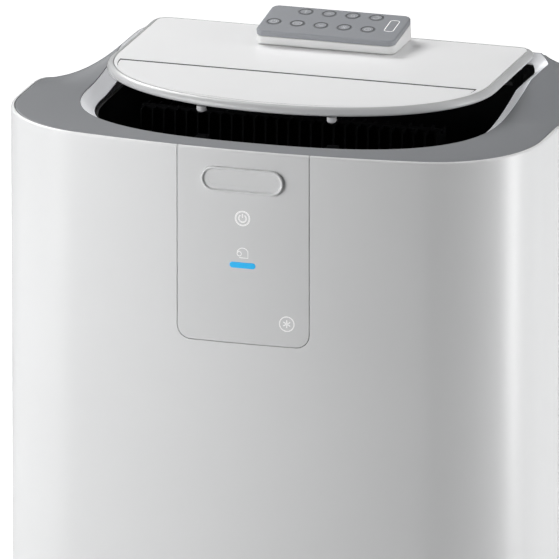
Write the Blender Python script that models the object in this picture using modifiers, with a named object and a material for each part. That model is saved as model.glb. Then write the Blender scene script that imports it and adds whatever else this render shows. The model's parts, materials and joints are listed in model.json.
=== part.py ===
"""Portable air conditioner on casters: wrap-round casing, hinged outlet lid, two fans, compressor, remote control.

Metres, +Z up, origin on the floor under the middle of the case. The front faces -Y. The lid rests raised over the
outlet well, as it stands while the machine blows, and closes by turning down about its rear hinge.
"""

import math

import bmesh
import bpy
from mathutils import Matrix, Vector

# Driving dimensions of the case
WIDTH = 0.488
DEPTH = 0.437
DECK_Z = 0.793          # level of the top deck along the front
FRONT_RADIUS = 1.07     # bow of the front and of the back
CORNER_RADIUS = 0.099
CORNER_X = WIDTH / 2 - CORNER_RADIUS
WALL = 0.003
GAP = 0.0004            # between pieces that touch
PROUD = 0.0022          # how far the badge and the exhaust collar stand out
CASE_BOTTOM = 0.050
PAN_Z, PAN_RIM_Z = 0.048, 0.080     # the base pan's underside and the top of its rim
PLATEAU_HALF_X, PLATEAU_HALF_Y, PLATEAU_DROP = 0.130, 0.105, 0.002
SEAM_Y = -0.064         # where the front casing meets the rear casing, on the sides

# Top deck: flat in front of the crease, a concave ramp behind it, and a slope down behind the lid
CREASE = 0.162          # distances here and below run back from the front of the case
RAMP_TOP = 0.285
RAMP_RISE = 0.025
RAMP_START = 0.35       # share of the ramp that rises evenly; the rest curves upwards
RIM_DROP, RIM_DIP_START, RIM_DIP_LENGTH = 0.034, 0.150, 0.160
CREST_FRONT_X, CREST_REAR_X = 0.212, 0.180
SHOULDER_POWER = 1.2    # how the deck falls from its crest to the rim
BACK_SLOPE_START = 0.300

# Outlet well and lid
WELL_HALF, WELL_FRONT, WELL_REAR = 0.190, 0.027, 0.3145
WELL_WAIST, WELL_POWER, WELL_CORNER = 0.158, 2.6, 0.016
TRIM_IN, TRIM_DROP = 0.012, 0.009
WELL_FLOOR = -0.075
LID_HALF, LID_FRONT, LID_REAR = 0.178, 0.0605, 0.310
LID_WAIST, LID_POWER, LID_CORNER = 0.183, 2.1, 0.016
LID_TOP, LID_THICK, LID_RIM = 0.0254, 0.008, 0.009
INSERT_HALF, INSERT_FRONT, INSERT_CHORD = 0.165, 0.0695, 0.165
INSERT_DEPTH = 0.0025
HINGE_D, HINGE_Z, HINGE_R = 0.303, 0.008, 0.003
BUMPER_X, BUMPER_D, BUMPER_LOW = 0.060, 0.071, 0.0105
FIN_PITCH, FIN_COUNT, FIN_D = 0.0105, 27, 0.150

# Control panel
PANEL_HALF, PANEL_TALL, PANEL_CORNER = 0.0605, 0.176, 0.012
BADGE_SIZE, BADGE_DROP = (0.076, 0.023), 0.027
BAR_SIZE, BAR_DROP = (0.024, 0.0055), 0.1045

# Rear of the case
DOOR_HALF, DOOR_Z = 0.160, (0.430, 0.690)
GRILLE_X, GRILLE_Z = (-0.200, 0.000), (0.095, 0.345)
EXHAUST = (0.100, 0.300)
EXHAUST_R, EXHAUST_WALL, EXHAUST_IN = 0.0755, 0.003, 0.110
GLAND = (0.150, 0.400)
PLUG_R, PLUG_LENGTH, PLUG_HEAD_R, PLUG_HEAD = 0.008, 0.012, 0.011, 0.0032
PLUGS = {"drain_plug": (0.060, 0.100), "upper_drain_plug": (-0.150, 0.400)}
HANDLE_Y, HANDLE_Z, HANDLE_DEPTH = (-0.045, 0.045), (0.560, 0.600), 0.034

# Inside
TRAY_Z = 0.3790
FANS = {"evaporator": ((0.0, 0.520), 0.085, (0.030, 0.125)), "condenser": ((0.100, 0.180), 0.070, (0.000, 0.085))}
COMPRESSOR = (-0.115, 0.050)

# Casters
WHEEL_R, WHEEL_WIDE, CASTER_TRAIL = 0.019, 0.014, 0.012
CASTER_X, CASTER_Y = 0.175, 0.145
AXLE_R = 0.003

# Remote control
REMOTE_HALF, REMOTE_DEEP, REMOTE_FRONT = 0.0645, 0.058, 0.2435
REMOTE_BASE, REMOTE_SHELL, REMOTE_CORNER = 0.008, 0.0055, 0.007
REMOTE_TILT = math.radians(8)       # the battery bay at the rear of its base tilts its face forwards
BUTTON_R, BUTTON_PITCH, BUTTON_PROUD, BUTTON_TRAVEL = 0.0065, 0.0218, 0.0004, 0.0008

COLOURS = {
    "white": ((0.84, 0.84, 0.85), 0.35, 0.0),
    "silver": ((0.72, 0.73, 0.74), 0.38, 0.4),
    "grey": ((0.30, 0.31, 0.32), 0.45, 0.0),
    "black": ((0.012, 0.012, 0.014), 0.55, 0.0),
    "blue": ((0.05, 0.42, 0.90), 0.25, 0.0),
    "steel": ((0.55, 0.56, 0.58), 0.32, 1.0),
    "aluminium": ((0.75, 0.76, 0.77), 0.30, 1.0),
    "copper": ((0.72, 0.36, 0.20), 0.28, 1.0),
    "board": ((0.03, 0.22, 0.10), 0.50, 0.0),
    "rubber": ((0.03, 0.03, 0.03), 0.80, 0.0),
}


def start():
    for old in list(bpy.data.objects):
        bpy.data.objects.remove(old, do_unlink=True)
    groups = {}
    for name in ("portable_air_conditioner", "cutters"):
        groups[name] = bpy.data.collections.new(name)
        bpy.context.scene.collection.children.link(groups[name])
    return groups["portable_air_conditioner"], groups["cutters"]


PARTS, CUTTERS = start()


def material(kind):
    if kind not in bpy.data.materials:
        colour, rough, metal = COLOURS[kind]
        made = bpy.data.materials.new(kind)
        made.use_nodes = True
        shader = made.node_tree.nodes["Principled BSDF"]
        shader.inputs["Base Color"].default_value = (*colour, 1.0)
        shader.inputs["Roughness"].default_value = rough
        shader.inputs["Metallic"].default_value = metal
    return bpy.data.materials[kind]


def finish(name, bm, kind=None, origin=(0, 0, 0)):
    """The mesh as an object: a part of the machine where kind names its material, and a cutter where it is None."""
    bmesh.ops.recalc_face_normals(bm, faces=bm.faces)
    mesh = bpy.data.meshes.new(name)
    bm.to_mesh(mesh)
    bm.free()
    mesh.transform(Matrix.Translation(-Vector(origin)))
    mesh.shade_smooth()
    mesh.set_sharp_from_angle(angle=math.radians(35))
    obj = bpy.data.objects.new(name, mesh)
    obj.location = origin
    if kind is None:
        CUTTERS.objects.link(obj)
        obj.hide_render = True
        obj.display_type = "WIRE"
    else:
        mesh.materials.append(material(kind))
        PARTS.objects.link(obj)
    return obj


def combine(target, other, operation):
    step = target.modifiers.new(operation.lower(), "BOOLEAN")
    step.operation = operation
    step.object = other
    return target


def cut(target, cutter):
    return combine(target, cutter, "DIFFERENCE")


def join(target, other):
    return combine(target, other, "UNION")


def bevel(obj, width, segments=2, angle=40):
    step = obj.modifiers.new("bevel", "BEVEL")
    step.width = width
    step.segments = segments
    step.limit_method = "ANGLE"
    step.angle_limit = math.radians(angle)
    return obj


# Solids ---------------------------------------------------------------------------------------------------------

def add_box(bm, low, high):
    size = Vector(high) - Vector(low)
    middle = (Vector(high) + Vector(low)) / 2
    bmesh.ops.create_cube(bm, size=1.0, matrix=Matrix.Translation(middle) @ Matrix.Diagonal((*size, 1.0)))


def add_rod(bm, start_point, end_point, radius, sides=16, end_radius=None):
    a, b = Vector(start_point), Vector(end_point)
    turn = (b - a).to_track_quat("Z", "Y").to_matrix().to_4x4()
    bmesh.ops.create_cone(bm, cap_ends=True, segments=sides, radius1=radius,
                          radius2=radius if end_radius is None else end_radius, depth=(b - a).length,
                          matrix=Matrix.Translation((a + b) / 2) @ turn)


def box(name, low, high, kind=None, origin=(0, 0, 0)):
    bm = bmesh.new()
    add_box(bm, low, high)
    return finish(name, bm, kind, origin)


def boxes(name, pairs, kind=None):
    bm = bmesh.new()
    for low, high in pairs:
        add_box(bm, low, high)
    return finish(name, bm, kind)


def rod(name, start_point, end_point, radius, kind=None, sides=16, origin=(0, 0, 0)):
    bm = bmesh.new()
    add_rod(bm, start_point, end_point, radius, sides)
    return finish(name, bm, kind, origin)


def stack(name, loops, kind=None):
    """A solid skinned over closed loops of equal length, with its first and last loops capped."""
    bm = bmesh.new()
    rings = [[bm.verts.new(p) for p in loop] for loop in loops]
    for low, high in zip(rings, rings[1:]):
        for i in range(len(low)):
            j = (i + 1) % len(low)
            bm.faces.new((low[i], low[j], high[j], high[i]))
    bm.faces.new(rings[0][::-1])
    bm.faces.new(rings[-1])
    return finish(name, bm, kind)


def sweep(name, sections, kind=None, closed=True):
    """A solid from closed sections placed along a path, which is a ring where closed and has capped ends where not."""
    bm = bmesh.new()
    rows = [[bm.verts.new(p) for p in section] for section in sections]
    pairs = list(zip(rows, rows[1:])) + ([(rows[-1], rows[0])] if closed else [])
    for a, b in pairs:
        for i in range(len(a)):
            j = (i + 1) % len(a)
            bm.faces.new((a[i], a[j], b[j], b[i]))
    if not closed:
        bm.faces.new(rows[0][::-1])
        bm.faces.new(rows[-1])
    return finish(name, bm, kind)


def rounded_rectangle(low, high, radii, steps=4):
    """Corner points of a rectangle whose corners, from low-low anticlockwise, have the radii given."""
    (x0, y0), (x1, y1) = low, high
    corners = ((x0, y0, 180), (x1, y0, 270), (x1, y1, 0), (x0, y1, 90))
    points = []
    for (x, y, begin), radius in zip(corners, radii):
        centre_x = x + radius if x == x0 else x - radius
        centre_y = y + radius if y == y0 else y - radius
        count = steps if radius > 0 else 0
        for k in range(count + 1):
            angle = math.radians(begin + 90 * k / max(count, 1))
            points.append((centre_x + radius * math.cos(angle), centre_y + radius * math.sin(angle)))
    return points


def upright_prism(name, outline, y_low, y_high, kind=None):
    """A solid whose outline in X and Z runs from one Y to another."""
    return stack(name, [[(x, y, z) for x, z in outline] for y in (y_low, y_high)], kind)


def flat_prism(name, outline, z_low, z_high, kind=None):
    return stack(name, [[(x, y, z) for x, y in outline] for z in (z_low, z_high)], kind)


# Outlines -------------------------------------------------------------------------------------------------------

def back(distance):
    """World Y of a distance behind the front of the case."""
    return distance - DEPTH / 2


def mirrored(half):
    """A closed loop from the half of it that runs at X >= 0 between two points on X = 0."""
    return half + [(-x, y) for x, y in half[-2:0:-1]]


def case_quarter(inset, front_steps=5, corner_steps=7):
    """Front right quarter of the case's plan, from the middle of the front to the straight side."""
    join_angle = math.asin(CORNER_X / (FRONT_RADIUS - CORNER_RADIUS))
    bow_centre = FRONT_RADIUS - DEPTH / 2
    corner_y = bow_centre - (FRONT_RADIUS - CORNER_RADIUS) * math.cos(join_angle)
    points = []
    for k in range(front_steps):
        angle = join_angle * k / front_steps
        radius = FRONT_RADIUS - inset
        points.append((radius * math.sin(angle), bow_centre - radius * math.cos(angle)))
    for k in range(corner_steps + 1):
        angle = join_angle + (math.pi / 2 - join_angle) * k / corner_steps
        radius = CORNER_RADIUS - inset
        points.append((CORNER_X + radius * math.sin(angle), corner_y - radius * math.cos(angle)))
    return points


def case_outline(inset):
    quarter = case_quarter(inset)
    side = [(WIDTH / 2 - inset, y) for y in (SEAM_Y, back(CREASE), 0.0, -SEAM_Y)]
    return mirrored(quarter + side + [(x, -y) for x, y in quarter[::-1]])


def d_outline(half, front, rear, waist, power, corner, steps=10):
    """A D: a superellipse in front of the waist, straight sides, and a straight rear with rounded corners."""
    points = []
    for k in range(steps + 1):
        angle = math.pi / 2 * k / steps
        points.append((half * math.sin(angle) ** (2 / power),
                       back(waist - (waist - front) * max(math.cos(angle), 0.0) ** (2 / power))))
    for k in range(5):
        angle = math.pi / 2 * k / 4
        points.append((half - corner + corner * math.cos(angle), back(rear - corner + corner * math.sin(angle))))
    return mirrored(points + [(0.0, back(rear))])


def well_outline(inset, rear_inset=0.0):
    return d_outline(WELL_HALF - inset, WELL_FRONT + inset, WELL_REAR - rear_inset, WELL_WAIST, WELL_POWER,
                     WELL_CORNER)


def lid_outline(inset):
    return d_outline(LID_HALF - inset, LID_FRONT + inset, LID_REAR - inset, LID_WAIST, LID_POWER,
                     LID_CORNER - inset)


def insert_outline(inset, steps=12):
    """Half moon: a straight chord behind and half an ellipse in front."""
    half, depth = INSERT_HALF - inset, INSERT_CHORD - INSERT_FRONT - 2 * inset
    chord = back(INSERT_CHORD - inset)
    return [(half * math.cos(a), chord - depth * math.sin(a)) for a in
            (math.pi * k / (2 * steps) for k in range(2 * steps + 1))]


def clamp(value):
    return min(max(value, 0.0), 1.0)


def ramp_height(distance):
    """Height of the deck beside and behind the lid, over its front level."""
    if distance > BACK_SLOPE_START:
        run = (distance - BACK_SLOPE_START) / (DEPTH - BACK_SLOPE_START)
        return RAMP_RISE - (RAMP_RISE + RIM_DROP) * run
    run = clamp((distance - CREASE) / (RAMP_TOP - CREASE))
    return RAMP_RISE * (RAMP_START * run + (1 - RAMP_START) * run * run)


def rim_height(distance):
    """Height of the casing's rim, which dips behind the crease."""
    t = clamp((distance - RIM_DIP_START) / RIM_DIP_LENGTH)
    return -RIM_DROP * t * t * (3 - 2 * t)


def deck_height(x, y):
    distance = y + DEPTH / 2
    run = clamp((distance - CREASE) / (RAMP_TOP - CREASE))
    crest = CREST_FRONT_X + (CREST_REAR_X - CREST_FRONT_X) * run
    top, rim = ramp_height(distance), rim_height(distance)
    if abs(x) <= crest:
        return max(top, rim)
    t = clamp((abs(x) - crest) / (WIDTH / 2 - 0.004 - crest))
    return rim + (max(top, rim) - rim) * (1 - t) ** SHOULDER_POWER


def ray_hit(loop, centre, towards):
    """Where the ray from centre towards a point meets a closed loop around the centre."""
    way = Vector(towards) - Vector(centre)
    for a, b in zip(loop, loop[1:] + loop[:1]):
        edge = Vector(b) - Vector(a)
        offset = Vector(a) - Vector(centre)
        det = edge.x * way.y - edge.y * way.x
        if abs(det) < 1e-12:
            continue
        along = (edge.x * offset.y - edge.y * offset.x) / det
        on_edge = (way.x * offset.y - way.y * offset.x) / det
        if along > 0 and -1e-6 <= on_edge <= 1 + 1e-6:
            return Vector(centre) + way * along
    raise ValueError("the loop doesn't go round the centre")


# Case -----------------------------------------------------------------------------------------------------------

def wall_section(x, y, inner_x, inner_y):
    """Section of the casing's wall: upright, with its top edge rounded over."""
    rim = DECK_Z + rim_height(y + DEPTH / 2)
    outer, inner = Vector((x, y, 0)), Vector((inner_x, inner_y, 0))
    shape = ((0.0, CASE_BOTTOM), (0.0, rim - 0.0035), (0.15, rim - 0.0015), (0.5, rim - 0.0003), (0.8, rim),
             (1.0, rim - 0.0003), (1.0, CASE_BOTTOM))
    return [outer.lerp(inner, t) + Vector((0, 0, z)) for t, z in shape]


def wall(name, keep, kind):
    """The run of the casing's wall whose plan points keep accepts, starting after the ones it refuses."""
    outer, inner = case_outline(0.0), case_outline(WALL)
    count = len(outer)
    kept = [keep(*p) for p in outer]
    first = next(i for i in range(count) if kept[i] and not kept[i - 1])
    run = []
    for k in range(count):
        i = (first + k) % count
        if not kept[i]:
            break
        run.append(wall_section(*outer[i], *inner[i]))
    return sweep(name, run, kind, closed=False)


def shifted_end(name, y_low, y_high):
    return box(name, (-WIDTH, y_low, 0.0), (WIDTH, y_high, 1.0))


def panel_outline(grow):
    top = DECK_Z + 0.02
    return rounded_rectangle((-PANEL_HALF - grow, DECK_Z - PANEL_TALL - grow), (PANEL_HALF + grow, top),
                             (PANEL_CORNER + grow, PANEL_CORNER + grow, 0, 0))


def capsule(middle, size, grow=0.0):
    half_x, half_z = size[0] / 2 + grow, size[1] / 2 + grow
    x, z = middle
    return rounded_rectangle((x - half_x, z - half_z), (x + half_x, z + half_z), (half_z - 1e-5,) * 4, 5)


def front_casing():
    casing = wall("front_casing", lambda x, y: y <= SEAM_Y + 1e-6, "white")
    cut(casing, upright_prism("panel_opening", panel_outline(0.0005), -0.30, -0.10))
    return casing


def rear_casing():
    casing = wall("rear_casing", lambda x, y: y >= SEAM_Y - 1e-6, "white")
    cut(casing, shifted_end("seam_gap", -0.30, SEAM_Y + 0.0005))
    door = rounded_rectangle((-DOOR_HALF, DOOR_Z[0]), (DOOR_HALF, DOOR_Z[1]), (0.008,) * 4)
    cut(casing, upright_prism("door_opening", door, 0.15, 0.25))
    grille = rounded_rectangle((GRILLE_X[0], GRILLE_Z[0]), (GRILLE_X[1], GRILLE_Z[1]), (0.006,) * 4)
    cut(casing, upright_prism("grille_opening", grille, 0.12, 0.25))
    rear_holes = {"exhaust_hole": (EXHAUST, EXHAUST_R + GAP), "gland_hole": (GLAND, 0.0094)}
    rear_holes.update({name + "_hole": (place, 0.0084) for name, place in PLUGS.items()})
    for name, ((x, z), radius) in rear_holes.items():
        cut(casing, rod(name, (x, 0.15, z), (x, 0.25, z), radius, sides=32 if radius > 0.05 else 16))
    y, z = HANDLE_Y, HANDLE_Z
    cut(casing, boxes("handle_openings", [((side - 0.02, y[0], z[0]), (side + 0.02, y[1], z[1]))
                                          for side in (-WIDTH / 2, WIDTH / 2)]))
    return casing


def handle(side):
    """Finger cup set into the side wall, open outwards."""
    name = "handle_cup_right" if side > 0 else "handle_cup_left"
    out, deep = side * (WIDTH / 2 - 0.0006), side * (WIDTH / 2 - HANDLE_DEPTH)
    y, z = HANDLE_Y, HANDLE_Z
    edges = sorted((out, deep))
    cup = box(name, (edges[0], y[0] + GAP, z[0] + GAP), (edges[1], y[1] - GAP, z[1] - GAP), "grey")
    hollow = sorted((side * (WIDTH / 2 + 0.01), deep + side * 0.0025))
    cut(cup, box(name + "_hollow", (hollow[0], y[0] + 0.0026, z[0] + 0.0026),
                 (hollow[1], y[1] - 0.0026, z[1] - 0.0026)))
    return cup


def base_pan():
    """Floor of the case: a shallow tray on the casters, pressed down into a flat plateau between them."""
    outer, inner = case_outline(WALL + GAP), case_outline(2 * WALL + GAP)
    loops = [[(x, y, z) for x, y in plan] for plan, z in
             ((outer, PAN_Z), (outer, PAN_RIM_Z), (inner, PAN_RIM_Z), (inner, PAN_Z + WALL))]
    pan = stack("base_pan", loops, "black")
    join(pan, box("plateau", (-PLATEAU_HALF_X, -PLATEAU_HALF_Y, PAN_Z - PLATEAU_DROP),
                  (PLATEAU_HALF_X, PLATEAU_HALF_Y, PAN_Z + WALL / 2)))
    for k, (x, y) in enumerate(caster_places()):
        cut(pan, rod(f"stem_hole_{k + 1}", (x, y, 0.03), (x, y, 0.07), 0.0054))
    return pan


def deck_frame():
    """Grey top frame: a ring from the casing's rim to the edge of the well, and down the trim inside the well."""
    centre = (0.0, back(CREASE))
    outer, well = case_outline(WALL + GAP), well_outline(0.0)
    foot = well_outline(TRIM_IN, 0.0010)
    sections = []
    for rim in outer:
        edge = ray_hit(well, centre, rim)
        low = ray_hit(foot, centre, rim)
        rim = Vector(rim)
        top = [rim.lerp(edge, t) for t in (0.0, 0.12, 0.3, 0.55, 0.8, 1.0)]
        upper = [Vector((p.x, p.y, DECK_Z + deck_height(p.x, p.y))) for p in top]
        trim_z = upper[-1].z - TRIM_DROP
        lower = [p - Vector((0, 0, 0.0025)) for p in upper[::-1]]
        skirt_in = rim.lerp(edge, 0.12)
        foot_in = low.lerp(edge, 0.3)
        sections.append([(rim.x, rim.y, upper[0].z - 0.014)] + [tuple(p) for p in upper]
                        + [(low.x, low.y, trim_z), (foot_in.x, foot_in.y, trim_z - 0.0025)]
                        + [tuple(p) for p in lower[:-1]] + [(skirt_in.x, skirt_in.y, upper[0].z - 0.014)])
    return sweep("deck_frame", sections, "grey")


def outlet_well():
    """Black tub under the deck, with a floor open to the fan below, hinge ears and posts for the lid's bumpers."""
    outer, inner = well_outline(TRIM_IN + 0.0002, 0.004), well_outline(TRIM_IN + 0.0027, 0.0065)
    duct = [(x * 0.62, back(0.165) + (y - back(0.165)) * 0.40) for x, y in inner]
    heights = (-0.0125, -0.0125, WELL_FLOOR, WELL_FLOOR, WELL_FLOOR - 0.0025, WELL_FLOOR - 0.0025)
    loops = (outer, inner, inner, duct, duct, outer)
    sections = [[(*loop[i], DECK_Z + z) for loop, z in zip(loops, heights)] for i in range(len(outer))]
    well = sweep("outlet_well", sections, "black")
    posts = [((s * BUMPER_X - 0.005, back(BUMPER_D - 0.006), DECK_Z + WELL_FLOOR - 0.001),
              (s * BUMPER_X + 0.005, back(BUMPER_D + 0.006), DECK_Z - 0.0105)) for s in (-1, 1)]
    ears = [((min(s * 0.158, s * 0.164), back(HINGE_D - 0.006), DECK_Z + WELL_FLOOR - 0.001),
             (max(s * 0.158, s * 0.164), back(HINGE_D + 0.006), DECK_Z + HINGE_Z + 0.006)) for s in (-1, 1)]
    join(well, boxes("posts_and_ears", posts + ears))
    for s, side in ((-1, "left"), (1, "right")):
        x0, x1 = s * 0.150, s * 0.170
        hinge = (back(HINGE_D), DECK_Z + HINGE_Z)
        cut(well, rod(f"ear_bore_{side}", (x0, *hinge), (x1, *hinge), HINGE_R + 0.0003))
    return well


def outlet_grille():
    """Comb of upright fins between a lower and an upper rail, standing across the well."""
    half = FIN_PITCH * (FIN_COUNT - 1) / 2
    y, low, high = back(FIN_D), DECK_Z + WELL_FLOOR + GAP, DECK_Z - 0.010
    rails = [((-half - 0.003, y - 0.003, z), (half + 0.003, y + 0.003, z + 0.003)) for z in (low, high - 0.003)]
    grille = boxes("outlet_grille", rails, "black")
    fins = [((x - 0.0006, y - 0.014, low + 0.0004), (x + 0.0006, y + 0.014, high - 0.0004)) for x in
            (-half + FIN_PITCH * k for k in range(FIN_COUNT))]
    return join(grille, boxes("fins", fins))


# Lid ------------------------------------------------------------------------------------------------------------

def lid_plate():
    levels = ((0.006, LID_TOP - LID_THICK), (0.001, LID_TOP - LID_THICK + 0.002), (0.0, LID_TOP - 0.0045),
              (0.0015, LID_TOP - 0.0025), (LID_RIM * 0.8, LID_TOP))
    plate = stack("lid_plate", [[(x, y, DECK_Z + z) for x, y in lid_outline(inset)] for inset, z in levels],
                  "silver")
    cut(plate, flat_prism("insert_recess", insert_outline(0.0), DECK_Z + LID_TOP - INSERT_DEPTH, DECK_Z + 0.1))
    lugs = [((min(s * 0.140, s * 0.1567), back(HINGE_D - 0.006), DECK_Z + HINGE_Z - 0.006),
             (max(s * 0.140, s * 0.1567), back(HINGE_D + 0.006), DECK_Z + LID_TOP - LID_THICK + 0.001))
            for s in (-1, 1)]
    join(plate, boxes("lid_lugs", lugs))
    hinge = (back(HINGE_D), DECK_Z + HINGE_Z)
    for s, side in ((-1, "left"), (1, "right")):
        cut(plate, rod(f"lug_bore_{side}", (s * 0.130, *hinge), (s * 0.170, *hinge), HINGE_R + 0.0003))
        rod(f"hinge_pin_{side}", (s * 0.1385, *hinge), (s * 0.1645, *hinge), HINGE_R, "steel")
    return plate


def lid_insert():
    top = DECK_Z + LID_TOP
    levels = ((0.0005, top - INSERT_DEPTH + GAP), (0.0005, top - 0.0006), (0.0009, top - 0.0001))
    return stack("lid_insert", [[(x, y, z) for x, y in insert_outline(inset)] for inset, z in levels], "silver")


def lid_bumper(side):
    """Soft stop hanging under the lid's front lip."""
    name = "lid_bumper_right" if side > 0 else "lid_bumper_left"
    x, y, top = side * BUMPER_X, back(BUMPER_D), DECK_Z + LID_TOP - LID_THICK - GAP
    bm = bmesh.new()
    add_rod(bm, (x, y, DECK_Z + BUMPER_LOW), (x, y, top), 0.0035, 16, 0.0045)
    return bevel(finish(name, bm, "rubber"), 0.001)


# Control panel --------------------------------------------------------------------------------------------------

def control_panel():
    panel = wall("control_panel", lambda x, y: y < -0.19 and abs(x) < 0.15, "silver")
    combine(panel, upright_prism("panel_shape", panel_outline(0.0), -0.30, -0.10), "INTERSECT")
    face = -DEPTH / 2
    badge_z, bar_z = DECK_Z - BADGE_DROP, DECK_Z - BAR_DROP
    cut(panel, upright_prism("badge_pocket", capsule((0, badge_z), BADGE_SIZE, 0.0004), -0.30, face + 0.0016))
    cut(panel, upright_prism("bar_pocket", capsule((0, bar_z), BAR_SIZE, 0.0003), -0.30, face + 0.0016))
    upright_prism("light_bar", capsule((0, bar_z), BAR_SIZE), face + 0.0001, face + 0.0012, "blue")
    badge = upright_prism("badge_capsule", capsule((0, badge_z), BADGE_SIZE), face - PROUD, face + 0.0012, "silver")
    cut(badge, upright_prism("badge_dish", capsule((0, badge_z), BADGE_SIZE, -0.0022), -0.30,
                             face - PROUD + 0.0012))
    box("control_board", (-0.055, face + 0.0100, DECK_Z - 0.130), (0.055, face + 0.0116, DECK_Z - 0.030), "board")
    return panel


# Rear fittings --------------------------------------------------------------------------------------------------

def slatted(name, low, high, kind, radius, pitch, border):
    """A rectangle of the rear wall, from low to high in X and Z, with rows of slots through it."""
    part = wall(name, lambda x, y: y > 0.12, kind)
    outline = rounded_rectangle((low[0] + 0.0005, low[1] + 0.0005), (high[0] - 0.0005, high[1] - 0.0005),
                                (radius,) * 4)
    combine(part, upright_prism(name + "_shape", outline, 0.12, 0.30), "INTERSECT")
    middle = (low[0] + high[0]) / 2
    columns = ((low[0] + border, middle - 0.006), (middle + 0.006, high[0] - border))
    count = int((high[1] - low[1] - 2 * border) / pitch)
    rows = [low[1] + border + pitch * k for k in range(count + 1)]
    cut(part, boxes(name + "_slots", [((a, 0.12, z), (b, 0.30, z + pitch * 0.45)) for z in rows
                                      for a, b in columns]))
    return part


def air_filter():
    """Frame and fine ribs of the washable filter, clipped inside the intake door."""
    half, low, high, y = DOOR_HALF - 0.014, DOOR_Z[0] + 0.012, DOOR_Z[1] - 0.012, 0.194
    frame = box("air_filter", (-half, y, low), (half, y + 0.006, high), "black")
    columns, rows = 6, 4
    wide, tall = (2 * half - 0.008) / columns, (high - low - 0.008) / rows
    windows = []
    for i in range(columns):
        for j in range(rows):
            x, z = -half + 0.004 + wide * i, low + 0.004 + tall * j
            windows.append(((x + 0.003, y - 0.01, z + 0.003), (x + wide - 0.003, y + 0.0045, z + tall - 0.003)))
    return cut(frame, boxes("filter_windows", windows))


def exhaust_spigot():
    """Round collar that the exhaust hose pushes into, and its duct from the condenser's fan."""
    x, z = EXHAUST
    tube = rod("exhaust_spigot", (x, EXHAUST_IN, z), (x, DEPTH / 2 + PROUD, z), EXHAUST_R, "white", 32)
    return cut(tube, rod("exhaust_bore", (x, EXHAUST_IN - 0.01, z), (x, 0.25, z), EXHAUST_R - EXHAUST_WALL,
                         sides=32))


def back_wall(x):
    """Y of the outside of the bowed back, at a place across it."""
    return math.sqrt(FRONT_RADIUS ** 2 - x ** 2) - (FRONT_RADIUS - DEPTH / 2)


def rear_plug(name, place):
    """Rubber plug of a drain: a shank through the wall and a round head outside it."""
    x, z = place
    near, far = back_wall(abs(x) + PLUG_HEAD_R), back_wall(abs(x) - PLUG_HEAD_R)
    plug = rod(name, (x, near - PLUG_LENGTH, z), (x, far + 0.001, z), PLUG_R, "rubber")
    return join(plug, rod(f"{name}_head", (x, far + GAP, z), (x, far + PLUG_HEAD, z), PLUG_HEAD_R))


def cord_gland():
    x, z = GLAND
    gland = rod("cord_gland", (x, 0.185, z), (x, 0.2155, z), 0.009, "black")
    return cut(gland, rod("gland_bore", (x, 0.17, z), (x, 0.25, z), 0.0045))


# Inside ---------------------------------------------------------------------------------------------------------

def drain_tray():
    outer, inner = case_outline(0.012), case_outline(0.0145)
    z = TRAY_Z
    loops = [[(x, y * 0.80, h) for x, y in plan] for plan, h in
             ((outer, z), (outer, z + 0.014), (inner, z + 0.014), (inner, z + 0.0025))]
    tray = stack("drain_tray", loops, "black")
    return cut(tray, rod("pipe_hole", (-0.200, 0.120, z - 0.01), (-0.200, 0.120, z + 0.01), 0.009))


def coil(name, low, high):
    """Finned heat exchanger: a block slotted into fins, on copper tubes whose ends stand out at both sides."""
    block = box(name, low, high, "aluminium")
    pitch = 0.015
    count = int((high[0] - low[0]) / pitch) - 1
    slots = [((low[0] + pitch * (k + 0.7), low[1] - 0.01, low[2] + 0.006),
              (low[0] + pitch * (k + 1.3), low[1] + 0.010, high[2] - 0.006)) for k in range(count)]
    cut(block, boxes(name + "_slots", slots))
    rows = 5
    bm = bmesh.new()
    y = high[1] - 0.010
    for k in range(rows):
        z = low[2] + (high[2] - low[2]) * (k + 0.5) / rows
        add_rod(bm, (low[0] - 0.008, y, z), (high[0] + 0.008, y, z), 0.005, 12)
    return join(block, finish(name + "_tubes", bm))


def volute(centre, wheel, grow, top, steps=20):
    """Outline in X and Z of a fan's scroll, which widens as it turns and leaves upwards at the right."""
    x, z = centre
    points = []
    for k in range(steps + 1):
        turn = k / steps
        radius = wheel * (1.10 + 0.38 * turn) + grow
        angle = math.radians(60 + 300 * turn)
        points.append((x + radius * math.cos(angle), z + radius * math.sin(angle)))
    points.append((points[-1][0], top))
    points.append((points[0][0] - grow, top))
    return points


def fan(kind_name):
    centre, wheel, (y0, y1) = FANS[kind_name]
    x, z = centre
    top = z + wheel * 1.95
    scroll = upright_prism(kind_name + "_scroll", volute(centre, wheel, 0.003, top), y0 - 0.003, y1 + 0.003,
                           "black")
    cut(scroll, upright_prism(kind_name + "_hollow", volute(centre, wheel, 0.0, top + 0.01), y0, y1))
    cut(scroll, rod(kind_name + "_intake", (x, y1 - 0.01, z), (x, y1 + 0.02, z), wheel * 0.8, sides=24))
    cut(scroll, rod(kind_name + "_shaft_hole", (x, y0 - 0.02, z), (x, y0 + 0.01, z), 0.012))
    fan_wheel(kind_name, centre, wheel, y0 + 0.006, y1 - 0.006)
    motor = rod(kind_name + "_motor", (x, y0 - 0.060, z), (x, y0 - 0.004, z), 0.040, "steel", 24)
    join(motor, rod(kind_name + "_shaft", (x, y0 - 0.010, z), (x, y0 + 0.040, z), 0.004))


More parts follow.
